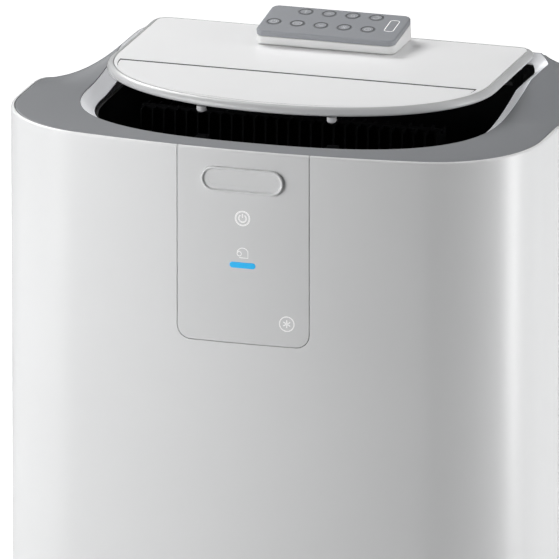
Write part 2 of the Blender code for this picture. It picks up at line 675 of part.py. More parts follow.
def fan_wheel(kind_name, centre, wheel, y0, y1, blades=15):
    """Forward-curved wheel: a back disc with a hub, a rim ring, and slanted blades between them."""
    x, z = centre
    disc = rod(kind_name + "_fan", (x, y0, z), (x, y0 + 0.003, z), wheel, "black", 24, origin=(x, y0, z))
    join(disc, rod(kind_name + "_hub", (x, y0 + 0.001, z), (x, y0 + 0.030, z), 0.014))
    ring = rod(kind_name + "_ring", (x, y1 - 0.004, z), (x, y1, z), wheel, sides=24)
    cut(ring, rod(kind_name + "_ring_bore", (x, y1 - 0.02, z), (x, y1 + 0.02, z), wheel - 0.010, sides=24))
    join(disc, ring)
    bm = bmesh.new()
    for k in range(blades):
        blade = bmesh.new()
        add_box(blade, (-0.0006, y0 + 0.001, -0.0060), (0.0006, y1 - 0.001, 0.0060))
        place = (Matrix.Translation((x, 0, z)) @ Matrix.Rotation(2 * math.pi * k / blades, 4, "Y")
                 @ Matrix.Translation((0, 0, wheel - 0.0088)) @ Matrix.Rotation(math.radians(28), 4, "Y"))
        blade.transform(place)
        mesh = bpy.data.meshes.new("blade")
        blade.to_mesh(mesh)
        blade.free()
        bm.from_mesh(mesh)
        bpy.data.meshes.remove(mesh)
    join(disc, finish(kind_name + "_blades", bm))
    cut(disc, rod(kind_name + "_bore", (x, y0 - 0.01, z), (x, y0 + 0.04, z), 0.0043))
    return disc


def turned(name, profile, place, kind, steps=24):
    """A solid of revolution about Z from a profile of radius and height that starts and ends on the axis."""
    bm = bmesh.new()
    verts = [bm.verts.new((r, 0.0, z)) for r, z in profile]
    for a, b in zip(verts, verts[1:]):
        bm.edges.new((a, b))
    mesh = bpy.data.meshes.new(name)
    bm.to_mesh(mesh)
    bm.free()
    obj = bpy.data.objects.new(name, mesh)
    obj.location = place
    PARTS.objects.link(obj)
    mesh.materials.append(material(kind))
    screw = obj.modifiers.new("turn", "SCREW")
    screw.steps = screw.render_steps = steps
    screw.use_merge_vertices = True
    screw.merge_threshold = 0.00005
    return obj


def compressor():
    """Hermetic compressor on its foot plate, with the accumulator strapped beside it."""
    x, y = COMPRESSOR
    shell = ((0.0, 0.264), (0.030, 0.262), (0.050, 0.250), (0.056, 0.232), (0.056, 0.092), (0.050, 0.076),
             (0.066, 0.074), (0.066, 0.070), (0.0, 0.070))
    body = turned("compressor", shell, (x, y, 0.0), "black")
    flask = rod("accumulator", (x, y - 0.084, 0.105), (x, y - 0.084, 0.225), 0.024)
    join(body, flask)
    return join(body, box("accumulator_strap", (x - 0.010, y - 0.075, 0.160), (x + 0.010, y - 0.040, 0.176)))


def compressor_cushion():
    """Rubber ring that carries the compressor's foot plate, one piece in place of its three mounts."""
    x, y = COMPRESSOR
    ring = rod("compressor_cushion", (x, y, 0.0514), (x, y, 0.0696), 0.062, "rubber", 24)
    return cut(ring, rod("cushion_bore", (x, y, 0.04), (x, y, 0.08), 0.046, sides=24))


def pipe(name, points, radius):
    """Copper pipe along points, with its corners rounded by a bezier's handles."""
    curve = bpy.data.curves.new(name, "CURVE")
    curve.dimensions = "3D"
    curve.bevel_depth = radius
    curve.bevel_resolution = 2
    curve.use_fill_caps = True
    spline = curve.splines.new("POLY")
    smooth = []
    for a, b, c in zip(points, points[1:], points[2:]):
        a, b, c = Vector(a), Vector(b), Vector(c)
        bend = min((a - b).length, (c - b).length) * 0.4
        first, last = b + (a - b).normalized() * bend, b + (c - b).normalized() * bend
        for k in range(4):
            t = k / 3
            smooth.append(first * (1 - t) ** 2 + b * 2 * t * (1 - t) + last * t * t)
    path = [Vector(points[0])] + smooth + [Vector(points[-1])]
    spline.points.add(len(path) - 1)
    for point, at in zip(spline.points, path):
        point.co = (*at, 1.0)
    obj = bpy.data.objects.new(name, curve)
    curve.materials.append(material("copper"))
    PARTS.objects.link(obj)
    return obj


def pipes():
    x, y = COMPRESSOR
    pipe("suction_pipe", [(x, y - 0.084, 0.2258), (x, y - 0.084, 0.290), (-0.200, 0.120, 0.320),
                          (-0.200, 0.120, 0.450), (-0.200, 0.175, 0.450), (-0.1792, 0.180, 0.450)], 0.005)
    pipe("discharge_pipe", [(x, y, 0.2646), (x, y, 0.300), (-0.085, 0.110, 0.300), (-0.085, 0.130, 0.364),
                            (0.0, 0.165, 0.364), (0.0, 0.165, 0.3504)], 0.004)


# Casters --------------------------------------------------------------------------------------------------------

def caster_places():
    return [(sx * CASTER_X, sy * CASTER_Y) for sx in (-1, 1) for sy in (-1, 1)]


def caster(index, place):
    """Swivel fork with its axle, and the wheel that runs on it behind the swivel."""
    x, y = place
    yc, half = y + CASTER_TRAIL, WHEEL_WIDE / 2
    fork = rod(f"caster_fork_{index}", (x, y, 0.0425), (x, y, 0.0476), 0.016, "black", 20, origin=(x, y, 0.0))
    cheeks = [((x + s * (half + 0.0008) - (0.0025 if s < 0 else 0), yc - 0.010, WHEEL_R - 0.007),
               (x + s * (half + 0.0008) + (0.0025 if s > 0 else 0), yc + 0.008, 0.0435)) for s in (-1, 1)]
    join(fork, boxes(f"cheeks_{index}", cheeks))
    join(fork, rod(f"stem_{index}", (x, y, 0.044), (x, y, 0.058), 0.005))
    join(fork, rod(f"axle_{index}", (x - half - 0.0025, yc, WHEEL_R), (x + half + 0.0025, yc, WHEEL_R), AXLE_R))
    wheel = rod(f"caster_wheel_{index}", (x - half, yc, WHEEL_R), (x + half, yc, WHEEL_R), WHEEL_R, "rubber", 24,
                origin=(x, yc, WHEEL_R))
    bevel(wheel, 0.0015, 1)
    cut(wheel, rod(f"wheel_bore_{index}", (x - 0.02, yc, WHEEL_R), (x + 0.02, yc, WHEEL_R), AXLE_R + 0.0003))


# Remote control -------------------------------------------------------------------------------------------------

def button_places():
    """Five columns of buttons, with the back row missing from the first."""
    columns = [(k - 2.44) * BUTTON_PITCH for k in range(5)]
    front, rear = back(REMOTE_FRONT + 0.0215), back(REMOTE_FRONT + 0.0475)
    return [(x, front) for x in columns] + [(x, rear) for x in columns[1:]]


def on_remote(x, y, height):
    """A place at a height over the plane of the remote's face, which is tilted up about its front edge."""
    front, low = back(REMOTE_FRONT), DECK_Z + LID_TOP + GAP
    c, s = math.cos(REMOTE_TILT), math.sin(REMOTE_TILT)
    return (x, front + (y - front) * c - height * s, low + (y - front) * s + height * c)


def remote():
    """Remote control on the lid: a wedge-shaped base with its battery door, and a tilted face with nine keys."""
    low, top = DECK_Z + LID_TOP + GAP, REMOTE_BASE + REMOTE_SHELL
    x, y0, y1 = REMOTE_HALF, back(REMOTE_FRONT), back(REMOTE_FRONT + REMOTE_DEEP)
    plan = rounded_rectangle((-x, y0), (x, y1), (REMOTE_CORNER,) * 4)
    tucked = rounded_rectangle((-x + 0.0015, y0 + 0.0015), (x - 0.0015, y1 - 0.0015), (REMOTE_CORNER,) * 4)
    base = stack("remote_base", [[(px, py, low) for px, py in tucked], [(px, py, low + 0.002) for px, py in plan],
                                 [on_remote(px, py, REMOTE_BASE) for px, py in plan]], "white")
    cover_y = (y0 + 0.010, y1 - 0.010)
    cut(base, box("battery_slot", (-0.08, cover_y[0], low - 0.01), (-0.004, cover_y[1], low + 0.0016)))
    box("battery_cover", (-x + 0.0022, cover_y[0] + GAP, low), (-0.0044, cover_y[1] - GAP, low + 0.0012), "white")
    shell = stack("remote_top", [[on_remote(px, py, height) for px, py in loop] for loop, height in
                                 ((plan, REMOTE_BASE + GAP), (plan, top - 0.001), (tucked, top))], "grey")
    holes = bmesh.new()
    for k, (bx, by) in enumerate(button_places()):
        add_rod(holes, on_remote(bx, by, REMOTE_BASE - 0.01), on_remote(bx, by, top + 0.01), BUTTON_R + 0.0004, 20)
        foot, head = on_remote(bx, by, REMOTE_BASE + BUTTON_TRAVEL + GAP), on_remote(bx, by, top + BUTTON_PROUD)
        rod(f"remote_button_{k + 1}", foot, head, BUTTON_R, "grey", 16, origin=foot)
    cut(shell, finish("button_holes", holes))


def main():
    front_casing()
    rear_casing()
    base_pan()
    deck_frame()
    outlet_well()
    outlet_grille()
    lid_plate()
    lid_insert()
    for side in (-1, 1):
        handle(side)
        lid_bumper(side)
    control_panel()
    slatted("intake_door", (-DOOR_HALF, DOOR_Z[0]), (DOOR_HALF, DOOR_Z[1]), "white", 0.0075, 0.020, 0.016)
    slatted("lower_grille", (GRILLE_X[0], GRILLE_Z[0]), (GRILLE_X[1], GRILLE_Z[1]), "white", 0.0055, 0.022, 0.014)
    air_filter()
    exhaust_spigot()
    cord_gland()
    for name, place in PLUGS.items():
        rear_plug(name, place)
    drain_tray()
    coil("evaporator_coil", (-0.165, 0.150, 0.400), (0.165, 0.180, 0.650))
    coil("condenser_coil", (-0.190, 0.150, 0.095), (0.010, 0.180, 0.350))
    for kind_name in FANS:
        fan(kind_name)
    compressor()
    compressor_cushion()
    pipes()
    box("inverter_box", (-0.200, -0.150, 0.440), (-0.110, -0.060, 0.620), "steel")
    box("lid_motor", (0.104, back(0.290), DECK_Z - 0.010), (0.1362, back(0.3065), DECK_Z + 0.0155), "black")
    for index, place in enumerate(caster_places()):
        caster(index + 1, place)
    remote()


main()
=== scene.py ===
"""Looks of the portable air conditioner: shells, trims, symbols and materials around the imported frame."""
import json
import math

import bmesh
import bpy
from mathutils import Matrix, Vector


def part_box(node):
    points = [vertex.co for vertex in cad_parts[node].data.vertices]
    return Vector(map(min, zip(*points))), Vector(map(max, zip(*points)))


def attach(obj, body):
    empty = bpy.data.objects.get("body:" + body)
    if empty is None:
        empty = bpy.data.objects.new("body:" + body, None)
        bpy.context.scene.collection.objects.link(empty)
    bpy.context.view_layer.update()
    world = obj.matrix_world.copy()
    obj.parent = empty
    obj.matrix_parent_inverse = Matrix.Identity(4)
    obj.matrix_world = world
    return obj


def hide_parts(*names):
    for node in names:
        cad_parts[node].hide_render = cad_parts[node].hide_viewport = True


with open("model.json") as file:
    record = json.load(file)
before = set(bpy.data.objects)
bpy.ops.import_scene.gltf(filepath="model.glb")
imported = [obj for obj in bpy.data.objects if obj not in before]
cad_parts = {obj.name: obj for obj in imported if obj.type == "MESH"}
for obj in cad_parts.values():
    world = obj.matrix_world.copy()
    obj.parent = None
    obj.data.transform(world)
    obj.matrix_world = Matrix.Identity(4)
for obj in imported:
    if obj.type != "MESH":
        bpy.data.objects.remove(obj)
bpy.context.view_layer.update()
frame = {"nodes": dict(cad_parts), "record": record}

# Sizes read from the frame
CASE_LOW, CASE_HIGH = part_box("front_casing")
HALF_WIDTH = CASE_HIGH.x
FRONT_Y = CASE_LOW.y
DECK_Z = CASE_HIGH.z
CASE_BOTTOM = CASE_LOW.z
SEAM_Y = CASE_HIGH.y
DEPTH = -2 * FRONT_Y
LID_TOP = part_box("lid_plate")[1].z

# Sizes of the case's form, in metres
FRONT_RADIUS, CORNER_RADIUS, WALL, FIT = 1.07, 0.099, 0.003, 0.0004
CORNER_X = HALF_WIDTH - CORNER_RADIUS
JOIN_ANGLE = math.asin(CORNER_X / (FRONT_RADIUS - CORNER_RADIUS))
BOW_CENTRE = FRONT_RADIUS + FRONT_Y
CORNER_Y = BOW_CENTRE - (FRONT_RADIUS - CORNER_RADIUS) * math.cos(JOIN_ANGLE)
JOIN_X = FRONT_RADIUS * math.sin(JOIN_ANGLE)
SEAM = 0.0006
# The crease and the ramp's top are distances from the front; the ramp starts at a share of its even slope
CREASE, RAMP_TOP, RAMP_RISE, RAMP_START = 0.162, 0.285, 0.025, 0.35
RIM_DROP, RIM_DIP_START, RIM_DIP_LENGTH, SHOULDER_POWER = 0.034, 0.150, 0.160, 1.2
CREST_FRONT_X, CREST_REAR_X, BACK_SLOPE_START = 0.212, 0.180, 0.300
WELL_HALF, WELL_FRONT, WELL_REAR = 0.190, 0.027, 0.3145
WELL_WAIST, WELL_POWER, WELL_CORNER = 0.158, 2.6, 0.016
TRIM_IN, TRIM_DROP = 0.012, 0.009
LID_HALF, LID_FRONT, LID_REAR, LID_THICK = 0.178, 0.0605, 0.310, 0.008
LID_WAIST, LID_POWER, LID_CORNER = 0.183, 2.1, 0.016
INSERT_HALF, INSERT_FRONT, INSERT_CHORD, INSERT_DEPTH = 0.165, 0.0695, 0.165, 0.0025
PANEL_HALF, PANEL_TALL, PANEL_CORNER = 0.0605, 0.176, 0.012
RIM_ROUND, EDGE_ROUND, PANEL_ROUND = 0.0022, 0.0003, 0.0004
COLUMN_STEP, BOW_STEP, SIDE_STEP, ROW_STEP, SLOT_SHARE = 0.012, 0.010, 0.015, 0.08, 0.55


# Materials --------------------------------------------------------------------

UNEVEN_POLISH = 0.06  # how far the roughness strays either way


def new_material(name, colour, rough, metal=0.0, spread=0.04, grain=1500.0, bump=0.03,
                 stretch=(1.0, 1.0, 1.0), coat=0.0, gloss=0.5):
    """Moulded or painted surface: a slow colour drift, an uneven polish and a fine grain in the relief."""
    made = bpy.data.materials.new(name)
    made.use_nodes = True
    nodes, links = made.node_tree.nodes, made.node_tree.links
    shader = nodes["Principled BSDF"]

    def add(kind, settings):
        node = nodes.new("ShaderNode" + kind)
        for socket, value in settings.items():
            node.inputs[socket].default_value = value
        return node

    for socket, value in (("Metallic", metal), ("Specular IOR Level", gloss), ("Coat Weight", coat),
                          ("Coat Roughness", 0.25)):
        shader.inputs[socket].default_value = value
    place = add("TexCoord", {})
    mapping = add("Mapping", {"Scale": stretch})
    links.new(place.outputs["Object"], mapping.inputs["Vector"])

    drift = add("TexNoise", {"Scale": 6.0, "Detail": 3.0})
    links.new(place.outputs["Object"], drift.inputs["Vector"])
    tones = add("ValToRGB", {})
    for stop, position, shift in zip(tones.color_ramp.elements, (0.3, 0.7), (1 - spread, 1 + spread)):
        stop.position = position
        stop.color = (*[min(c * shift, 1.0) for c in colour], 1.0)
    links.new(drift.outputs["Fac"], tones.inputs["Fac"])
    links.new(tones.outputs["Color"], shader.inputs["Base Color"])

    fine = add("TexNoise", {"Scale": grain, "Detail": 2.0})
    links.new(mapping.outputs["Vector"], fine.inputs["Vector"])
    polish = add("MapRange", {"To Min": max(rough - UNEVEN_POLISH, 0.02), "To Max": rough + UNEVEN_POLISH})
    links.new(fine.outputs["Fac"], polish.inputs["Value"])
    links.new(polish.outputs["Result"], shader.inputs["Roughness"])
    relief = add("Bump", {"Strength": bump, "Distance": 0.0002})
    links.new(fine.outputs["Fac"], relief.inputs["Height"])
    links.new(relief.outputs["Normal"], shader.inputs["Normal"])
    return made


def lit(made, colour, strength):
    """The same material with a light of its own: a lamp on the status light, a painted glow on the trim and
    the print.
    """
    shader = made.node_tree.nodes["Principled BSDF"]
    shader.inputs["Emission Color"].default_value = (*colour, 1.0)
    shader.inputs["Emission Strength"].default_value = strength
    return made


MATERIALS = {
    "case": new_material("case_white", (0.78, 0.785, 0.79), 0.34, spread=0.012, coat=0.15),
    "panel": new_material("panel_silver", (0.735, 0.74, 0.745), 0.33, spread=0.012, coat=0.15),
    "lid": new_material("lid_silver", (0.89, 0.892, 0.895), 0.40, spread=0.015, grain=700, bump=0.04,
                        stretch=(0.06, 1.0, 1.0)),
    # Darker copy of the lid's silver for the edge band: painted shade on the rolled edge.
    "lid_edge": new_material("lid_edge_painted_shade_silver", (0.50, 0.505, 0.51), 0.32, spread=0.015),
    "deck": new_material("deck_grey", (0.225, 0.232, 0.244), 0.46, spread=0.03, grain=1800, bump=0.10),
    # The trim is pale, and its glow is painted light that brightens it where the lid shades it.
    "trim": lit(new_material("trim_pale_painted_glow", (0.92, 0.93, 0.95), 0.45, spread=0.015), (0.95, 0.96, 1.0), 0.20),
    "black": new_material("well_black", (0.0045, 0.0050, 0.0065), 0.60, spread=0.2, grain=1200,
                          bump=0.12, gloss=0.2),
    # Darker, duller copy of the black plastic for the grille's fins: painted shade for the fins deep in the
    # well under the lid.
    "fins": new_material("fins_black_painted_shade", (0.0022, 0.0024, 0.0030), 0.70, spread=0.2, grain=1200, bump=0.10,
                         gloss=0.08),
    # Near-black sheet for the seam round the lid's insert: painted shade for the gap.
    "seam": new_material("seam_painted_shade", (0.045, 0.045, 0.048), 0.70, spread=0.1, bump=0.05, gloss=0.2),
    "rubber": new_material("rubber_black", (0.022, 0.022, 0.023), 0.75, spread=0.2, grain=900, bump=0.25),
    "soft": new_material("bumper_grey", (0.45, 0.45, 0.46), 0.60, spread=0.03, grain=1100, bump=0.10),
    "remote": new_material("remote_grey", (0.275, 0.285, 0.305), 0.45, spread=0.02, grain=2200, bump=0.08),
    "remote_white": new_material("remote_white", (0.76, 0.76, 0.76), 0.35, spread=0.01, grain=1600),
    "key": new_material("key_grey", (0.29, 0.30, 0.32), 0.50, spread=0.02, grain=2200, bump=0.08),
    "groove": new_material("print_dark", (0.075, 0.078, 0.085), 0.50, spread=0.05, grain=2200, bump=0.05),
    # White print whose glow is painted light, so the print stays bright away from the lamps.
    "print": lit(new_material("print_white_painted_glow", (0.92, 0.92, 0.92), 0.40, spread=0.01, bump=0.02),
                 (1.0, 1.0, 1.0), 0.25),
    "key_print": new_material("key_print", (0.55, 0.56, 0.58), 0.50, spread=0.02, bump=0.02),
    "light": lit(new_material("light_blue", (0.03, 0.42, 0.80), 0.25, bump=0.02), (0.03, 0.34, 0.64), 0.40),
    "steel": new_material("zinc_steel", (0.55, 0.56, 0.58), 0.30, metal=1.0, grain=500, bump=0.08,
                          stretch=(0.1, 1.0, 1.0)),
    "aluminium": new_material("aluminium_fin", (0.75, 0.76, 0.77), 0.32, metal=1.0, grain=700, bump=0.10),
    "copper": new_material("copper_pipe", (0.72, 0.36, 0.20), 0.28, metal=1.0, spread=0.10, grain=600,
                           bump=0.06),
    "board": new_material("circuit_board", (0.03, 0.20, 0.09), 0.45, spread=0.15, grain=500, bump=0.10),
    "enamel": new_material("compressor_enamel", (0.012, 0.012, 0.014), 0.32, spread=0.2, grain=400,
                           bump=0.12),
}
SLOT_MATERIALS = {
    "white_satin": "case", "silver_satin": "lid", "deck_grey": "deck", "black_plastic": "black",
    "blue_light": "light", "zinc_steel": "steel", "aluminium_fin": "aluminium", "copper_pipe": "copper",
    "circuit_board": "board", "rubber_black": "rubber", "rubber_grey": "soft", "compressor_paint": "enamel",
    "remote_grey": "remote",
}


def dress_cad():
    """Every CAD node gets the worked material of its slot, but the outlet grille gets the darker black of
    painted shade.
    """
    for part in frame["record"]["subparts"]:
        node = frame["nodes"][part["node"]]
        node.data.materials.clear()
        # The outlet grille's fins take a darker black: painted shade.
        look = "fins" if part["node"] == "outlet_grille" else SLOT_MATERIALS[part["material_slot"]]
        node.data.materials.append(MATERIALS[look])


# Mesh helpers -----------------------------------------------------------------

def round_edges(bm, width, segments=2, angle=45, keep=None):
    """Rounds the edges sharper than angle, or those among them that keep accepts."""
    bm.normal_update()
    sharp = [e for e in bm.edges if len(e.link_faces) == 2 and e.calc_face_angle(0) > math.radians(angle)
             and (keep is None or keep(e))]
    bmesh.ops.bevel(bm, geom=sharp, offset=width, segments=segments, profile=0.5, affect="EDGES",
                    clamp_overlap=True)


def placed(name, data):
    """A new object of the scene with this mesh, lamp or camera."""
    obj = bpy.data.objects.new(name, data)
    bpy.context.scene.collection.objects.link(obj)
    return obj


def mesh_of(name, bm):
    mesh = bpy.data.meshes.new(name)
    bm.to_mesh(mesh)
    bm.free()
    return mesh


def even_normals(obj, sharp):
    """Shading that stays flat on flat faces, with creases at edges sharper than an angle."""
    obj.data.set_sharp_from_angle(angle=math.radians(sharp))
    obj.modifiers.new("even_normals", "WEIGHTED_NORMAL").keep_sharp = True


def piece(name, bm, look, body, slot, stands_for=(), sharp=30):
    """The finished mesh as a piece of the visual model that rides on a body."""
    bmesh.ops.recalc_face_normals(bm, faces=bm.faces)
    obj = placed(name, mesh_of(name, bm))
    obj.data.shade_smooth()
    obj.data.materials.append(MATERIALS[look])
    even_normals(obj, sharp)
    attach(obj, body)
    if stands_for:
        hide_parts(*stands_for)
    return obj


def bridge(bm, a, b, closed=True):
    """Faces between two rows of points, round and back to the start if closed."""
    for i in range(len(a) - (not closed)):
        j = (i + 1) % len(a)
        bm.faces.new((a[i], a[j], b[j], b[i]))


def add_stack(bm, loops):
    """Skin over closed loops of equal length, with its first and last loops capped."""
    rings = [[bm.verts.new(p) for p in loop] for loop in loops]
    for low, high in zip(rings, rings[1:]):
        bridge(bm, low, high)
    bm.faces.new(rings[0][::-1])
    bm.faces.new(rings[-1])


def stacked(name, loops, look, body, slot, stands_for=(), sharp=30):
    bm = bmesh.new()
    add_stack(bm, loops)
    return piece(name, bm, look, body, slot, stands_for, sharp)


def add_ring(bm, sections):
    """Closed tube of closed sections, such as a frame round an opening."""
    rows = [[bm.verts.new(p) for p in section] for section in sections]
    for a, b in zip(rows, rows[1:] + rows[:1]):
        bridge(bm, a, b)


def ringed(name, sections, look, body, slot, stands_for=(), sharp=30):
    bm = bmesh.new()
    add_ring(bm, sections)
    return piece(name, bm, look, body, slot, stands_for, sharp)


def add_turned(bm, profile, origin, axis="Z", steps=32):
    """Closed solid of revolution; the ends of its profile of (radius, height) lie on the axis or meet."""
    turn = {"Z": Matrix.Identity(4), "Y": Matrix.Rotation(-math.pi / 2, 4, "X"),
            "X": Matrix.Rotation(math.pi / 2, 4, "Y")}[axis]
    place = Matrix.Translation(origin) @ turn
    hollow = profile[0][0] > 0
    rows = []
    for k in range(steps):
        a = 2 * math.pi * k / steps
        rows.append([place @ Vector((r * math.cos(a), r * math.sin(a), h)) for r, h in profile])
    if hollow:
        add_ring(bm, rows)
        return
    tip_low = bm.verts.new(place @ Vector((0, 0, profile[0][1])))
    tip_high = bm.verts.new(place @ Vector((0, 0, profile[-1][1])))
    rings = [[bm.verts.new(p) for p in row[1:-1]] for row in rows]
    for a, b in zip(rings, rings[1:] + rings[:1]):
        bm.faces.new((tip_low, a[0], b[0]))
        bridge(bm, a, b, closed=False)
        bm.faces.new((tip_high, b[-1], a[-1]))


def turned(name, profile, origin, axis, steps, look, body, slot, stands_for=(), sharp=50):
    bm = bmesh.new()
    add_turned(bm, profile, origin, axis, steps)
    return piece(name, bm, look, body, slot, stands_for, sharp)


def add_box(bm, low, high):
    size = Vector(high) - Vector(low)
    middle = (Vector(high) + Vector(low)) / 2
    bmesh.ops.create_cube(bm, size=1.0, matrix=Matrix.Translation(middle) @ Matrix.Diagonal((*size, 1.0)))


def middle_of(low, high):
    """The middle of a box, from its two corners."""
    return [(a + b) / 2 for a, b in zip(low, high)]


def stroke(points, width, closed):
    """Outline pairs (left, right) of a line of even width along points in a plane."""
    pairs = []
    count = len(points)
    for i, p in enumerate(points):
        before = points[(i - 1) % count] if closed or i > 0 else p
        after = points[(i + 1) % count] if closed or i < count - 1 else p
        way = (Vector(after) - Vector(before)).normalized()
        side = Vector((-way.y, way.x)) * width / 2
        pairs.append((Vector(p) + side, Vector(p) - side))
    return pairs


def add_stroke(bm, points, width, place, thick, closed=False):
    """A printed or inlaid line; place turns a point of the plane and a height over it into one in space."""
    rows = [[bm.verts.new(p) for p in (place(a, 0.0), place(a, thick), place(b, thick), place(b, 0.0))]
            for a, b in stroke(points, width, closed)]
    for a, b in list(zip(rows, rows[1:])) + ([(rows[-1], rows[0])] if closed else []):
        bridge(bm, a, b)
    if not closed:
        bm.faces.new(rows[0][::-1])
        bm.faces.new(rows[-1])


def stroked(name, lines, width, place, thick, look, body, slot):
    """A piece of strokes, each from (points, closed)."""
    bm = bmesh.new()
    for points, closed in lines:
        add_stroke(bm, points, width, place, thick, closed)
    return piece(name, bm, look, body, slot)


def arc(centre, radius, begin, end, steps=24):
    """Points of an arc between two angles in degrees; a full circle leaves out its repeated end."""
    full = abs(end - begin) >= 360
    count = steps if full else steps + 1
    return [(centre[0] + radius * math.cos(math.radians(begin + (end - begin) * k / steps)),
             centre[1] + radius * math.sin(math.radians(begin + (end - begin) * k / steps)))
            for k in range(count)]


def rounded_rectangle(low, high, radius, steps=6):
    (x0, y0), (x1, y1) = low, high
    corners = ((x0 + radius, y0 + radius), (x1 - radius, y0 + radius), (x1 - radius, y1 - radius),
               (x0 + radius, y1 - radius))
    return [p for corner, begin in zip(corners, (180, 270, 0, 90))
            for p in arc(corner, radius, begin, begin + 90, steps)]


# Form of the case -------------------------------------------------------------

def back(distance):
    return distance + FRONT_Y


def clamp(value):
    return min(max(value, 0.0), 1.0)


def bow_columns(stations, side):
    """Plan points and normals on the bowed front (side -1) or back (side 1), at stations in X."""
    columns = []
    for x in stations:
        angle = math.asin(x / FRONT_RADIUS)
        normal = (math.sin(angle), side * math.cos(angle))
        columns.append(((FRONT_RADIUS * normal[0], side * (-BOW_CENTRE) + FRONT_RADIUS * normal[1]), normal))
    return columns


def corner_columns(side_x, side_y, steps=20):
    """Round corner from the straight side to the bow, without its last point."""
    columns = []
    for k in range(steps + 1):
        angle = math.pi / 2 + (JOIN_ANGLE - math.pi / 2) * k / steps
        normal = (side_x * math.sin(angle), side_y * math.cos(angle))
        columns.append(((side_x * CORNER_X + CORNER_RADIUS * normal[0],
                         -side_y * CORNER_Y + CORNER_RADIUS * normal[1]), normal))
    return columns[:-1]


def side_columns(side_x, ys):
    return [((side_x * HALF_WIDTH, y), (side_x, 0.0)) for y in ys]


def spread(stops, step):
    """Values from the first stop to the last, through every stop, at most a step apart."""
    values = [stops[0]]
    for a, b in zip(stops, stops[1:]):
        count = max(1, math.ceil(abs(b - a) / step - 1e-6))
        values += [a + (b - a) * (k + 1) / count for k in range(count)]
    return values


def case_loop(inset):
    """The whole plan as a dense closed loop."""
    sides = spread([CORNER_Y, back(CREASE), SEAM_Y, -CORNER_Y], COLUMN_STEP)[1:-1]
    bow = spread([-JOIN_X, JOIN_X], BOW_STEP)
    columns = (bow_columns(bow, -1) + corner_columns(1, -1)[::-1] + side_columns(1, sides)
               + corner_columns(1, 1) + bow_columns(bow[::-1], 1) + corner_columns(-1, 1)[::-1]
               + side_columns(-1, sides[::-1]) + corner_columns(-1, -1))
    return [(x - nx * inset, y - ny * inset) for (x, y), (nx, ny) in columns]


def rim_height(distance):
    """Height of the case's rim over the front of the deck, at a distance from the front."""
    t = clamp((distance - RIM_DIP_START) / RIM_DIP_LENGTH)
    return -RIM_DROP * t * t * (3 - 2 * t)


def ramp_height(distance):
    """Height of the deck along its middle: level, up the ramp, and down behind the lid."""
    if distance > BACK_SLOPE_START:
        run = (distance - BACK_SLOPE_START) / (DEPTH - BACK_SLOPE_START)
        return RAMP_RISE - (RAMP_RISE + RIM_DROP) * run
    run = clamp((distance - CREASE) / (RAMP_TOP - CREASE))
    return RAMP_RISE * (RAMP_START * run + (1 - RAMP_START) * run * run)


def deck_height(x, y):
    """Height of the deck: level across to its crest, then falling to the rim."""
    distance = y - FRONT_Y
    run = clamp((distance - CREASE) / (RAMP_TOP - CREASE))
    crest = CREST_FRONT_X + (CREST_REAR_X - CREST_FRONT_X) * run
    rim = rim_height(distance)
    top = max(ramp_height(distance), rim)
    if abs(x) <= crest:
        return top
    t = clamp((abs(x) - crest) / (HALF_WIDTH - 0.004 - crest))
    return rim + (top - rim) * (1 - t) ** SHOULDER_POWER


def d_outline(half, front, rear, waist, power, corner):
    """Outline with a full round front, straight sides behind the waist and rounded rear corners."""
    steps = 36
    points = []
    for k in range(steps + 1):
        angle = math.pi / 2 * k / steps
        points.append((half * math.sin(angle) ** (2 / power),
                       back(waist - (waist - front) * max(math.cos(angle), 0.0) ** (2 / power))))
    points += [(half, back(d)) for d in spread([waist, rear - corner], 0.02)[1:-1]]
    points += arc((half - corner, back(rear - corner)), corner, 0, 90, 8)
    points += [(x, back(rear)) for x in spread([half - corner, 0.0], 0.03)[1:]]
    return points + [(-x, y) for x, y in points[-2:0:-1]]


def well_outline(inset, rear_inset=0.0):
    return d_outline(WELL_HALF - inset, WELL_FRONT + inset, WELL_REAR - rear_inset, WELL_WAIST, WELL_POWER,
                     WELL_CORNER)


def lid_outline(inset):
    return d_outline(LID_HALF - inset, LID_FRONT + inset, LID_REAR - inset, LID_WAIST, LID_POWER,
                     max(LID_CORNER - inset, 0.004))


def ray_hit(loop, centre, towards):
    """Where the ray from the centre meets the loop."""
    way = Vector(towards) - Vector(centre)
    for a, b in zip(loop, loop[1:] + loop[:1]):
        edge = Vector(b) - Vector(a)
        offset = Vector(a) - Vector(centre)
        det = edge.x * way.y - edge.y * way.x
        if abs(det) < 1e-12:
            continue
        along = (edge.x * offset.y - edge.y * offset.x) / det
        on_edge = (way.x * offset.y - way.y * offset.x) / det
        if along > 0 and -1e-6 <= on_edge <= 1 + 1e-6:
            return Vector(centre) + way * along
    raise ValueError("the loop doesn't go round the centre")


def add_shell(bm, columns, height, cells):
    """Closed sheet of wall: cell (i, j) spans columns i and i + 1 and rows j and j + 1."""
    made = {}

    def corner(i, j, inset):
        key = (i, j, inset)
        if key not in made:
            (x, y), (nx, ny) = columns[i]
            made[key] = bm.verts.new((x - nx * inset, y - ny * inset, height(i, j)))
        return made[key]

    for i, j in cells:
        loop = ((i, j), (i + 1, j), (i + 1, j + 1), (i, j + 1))
        bm.faces.new([corner(a, b, 0.0) for a, b in loop])
        bm.faces.new([corner(a, b, WALL) for a, b in reversed(loop)])
        for k, (di, dj) in enumerate(((0, -1), (1, 0), (0, 1), (-1, 0))):
            if (i + di, j + dj) not in cells:
                a, b = loop[k], loop[(k + 1) % 4]
                bm.faces.new((corner(*b, 0.0), corner(*a, 0.0), corner(*a, WALL), corner(*b, WALL)))


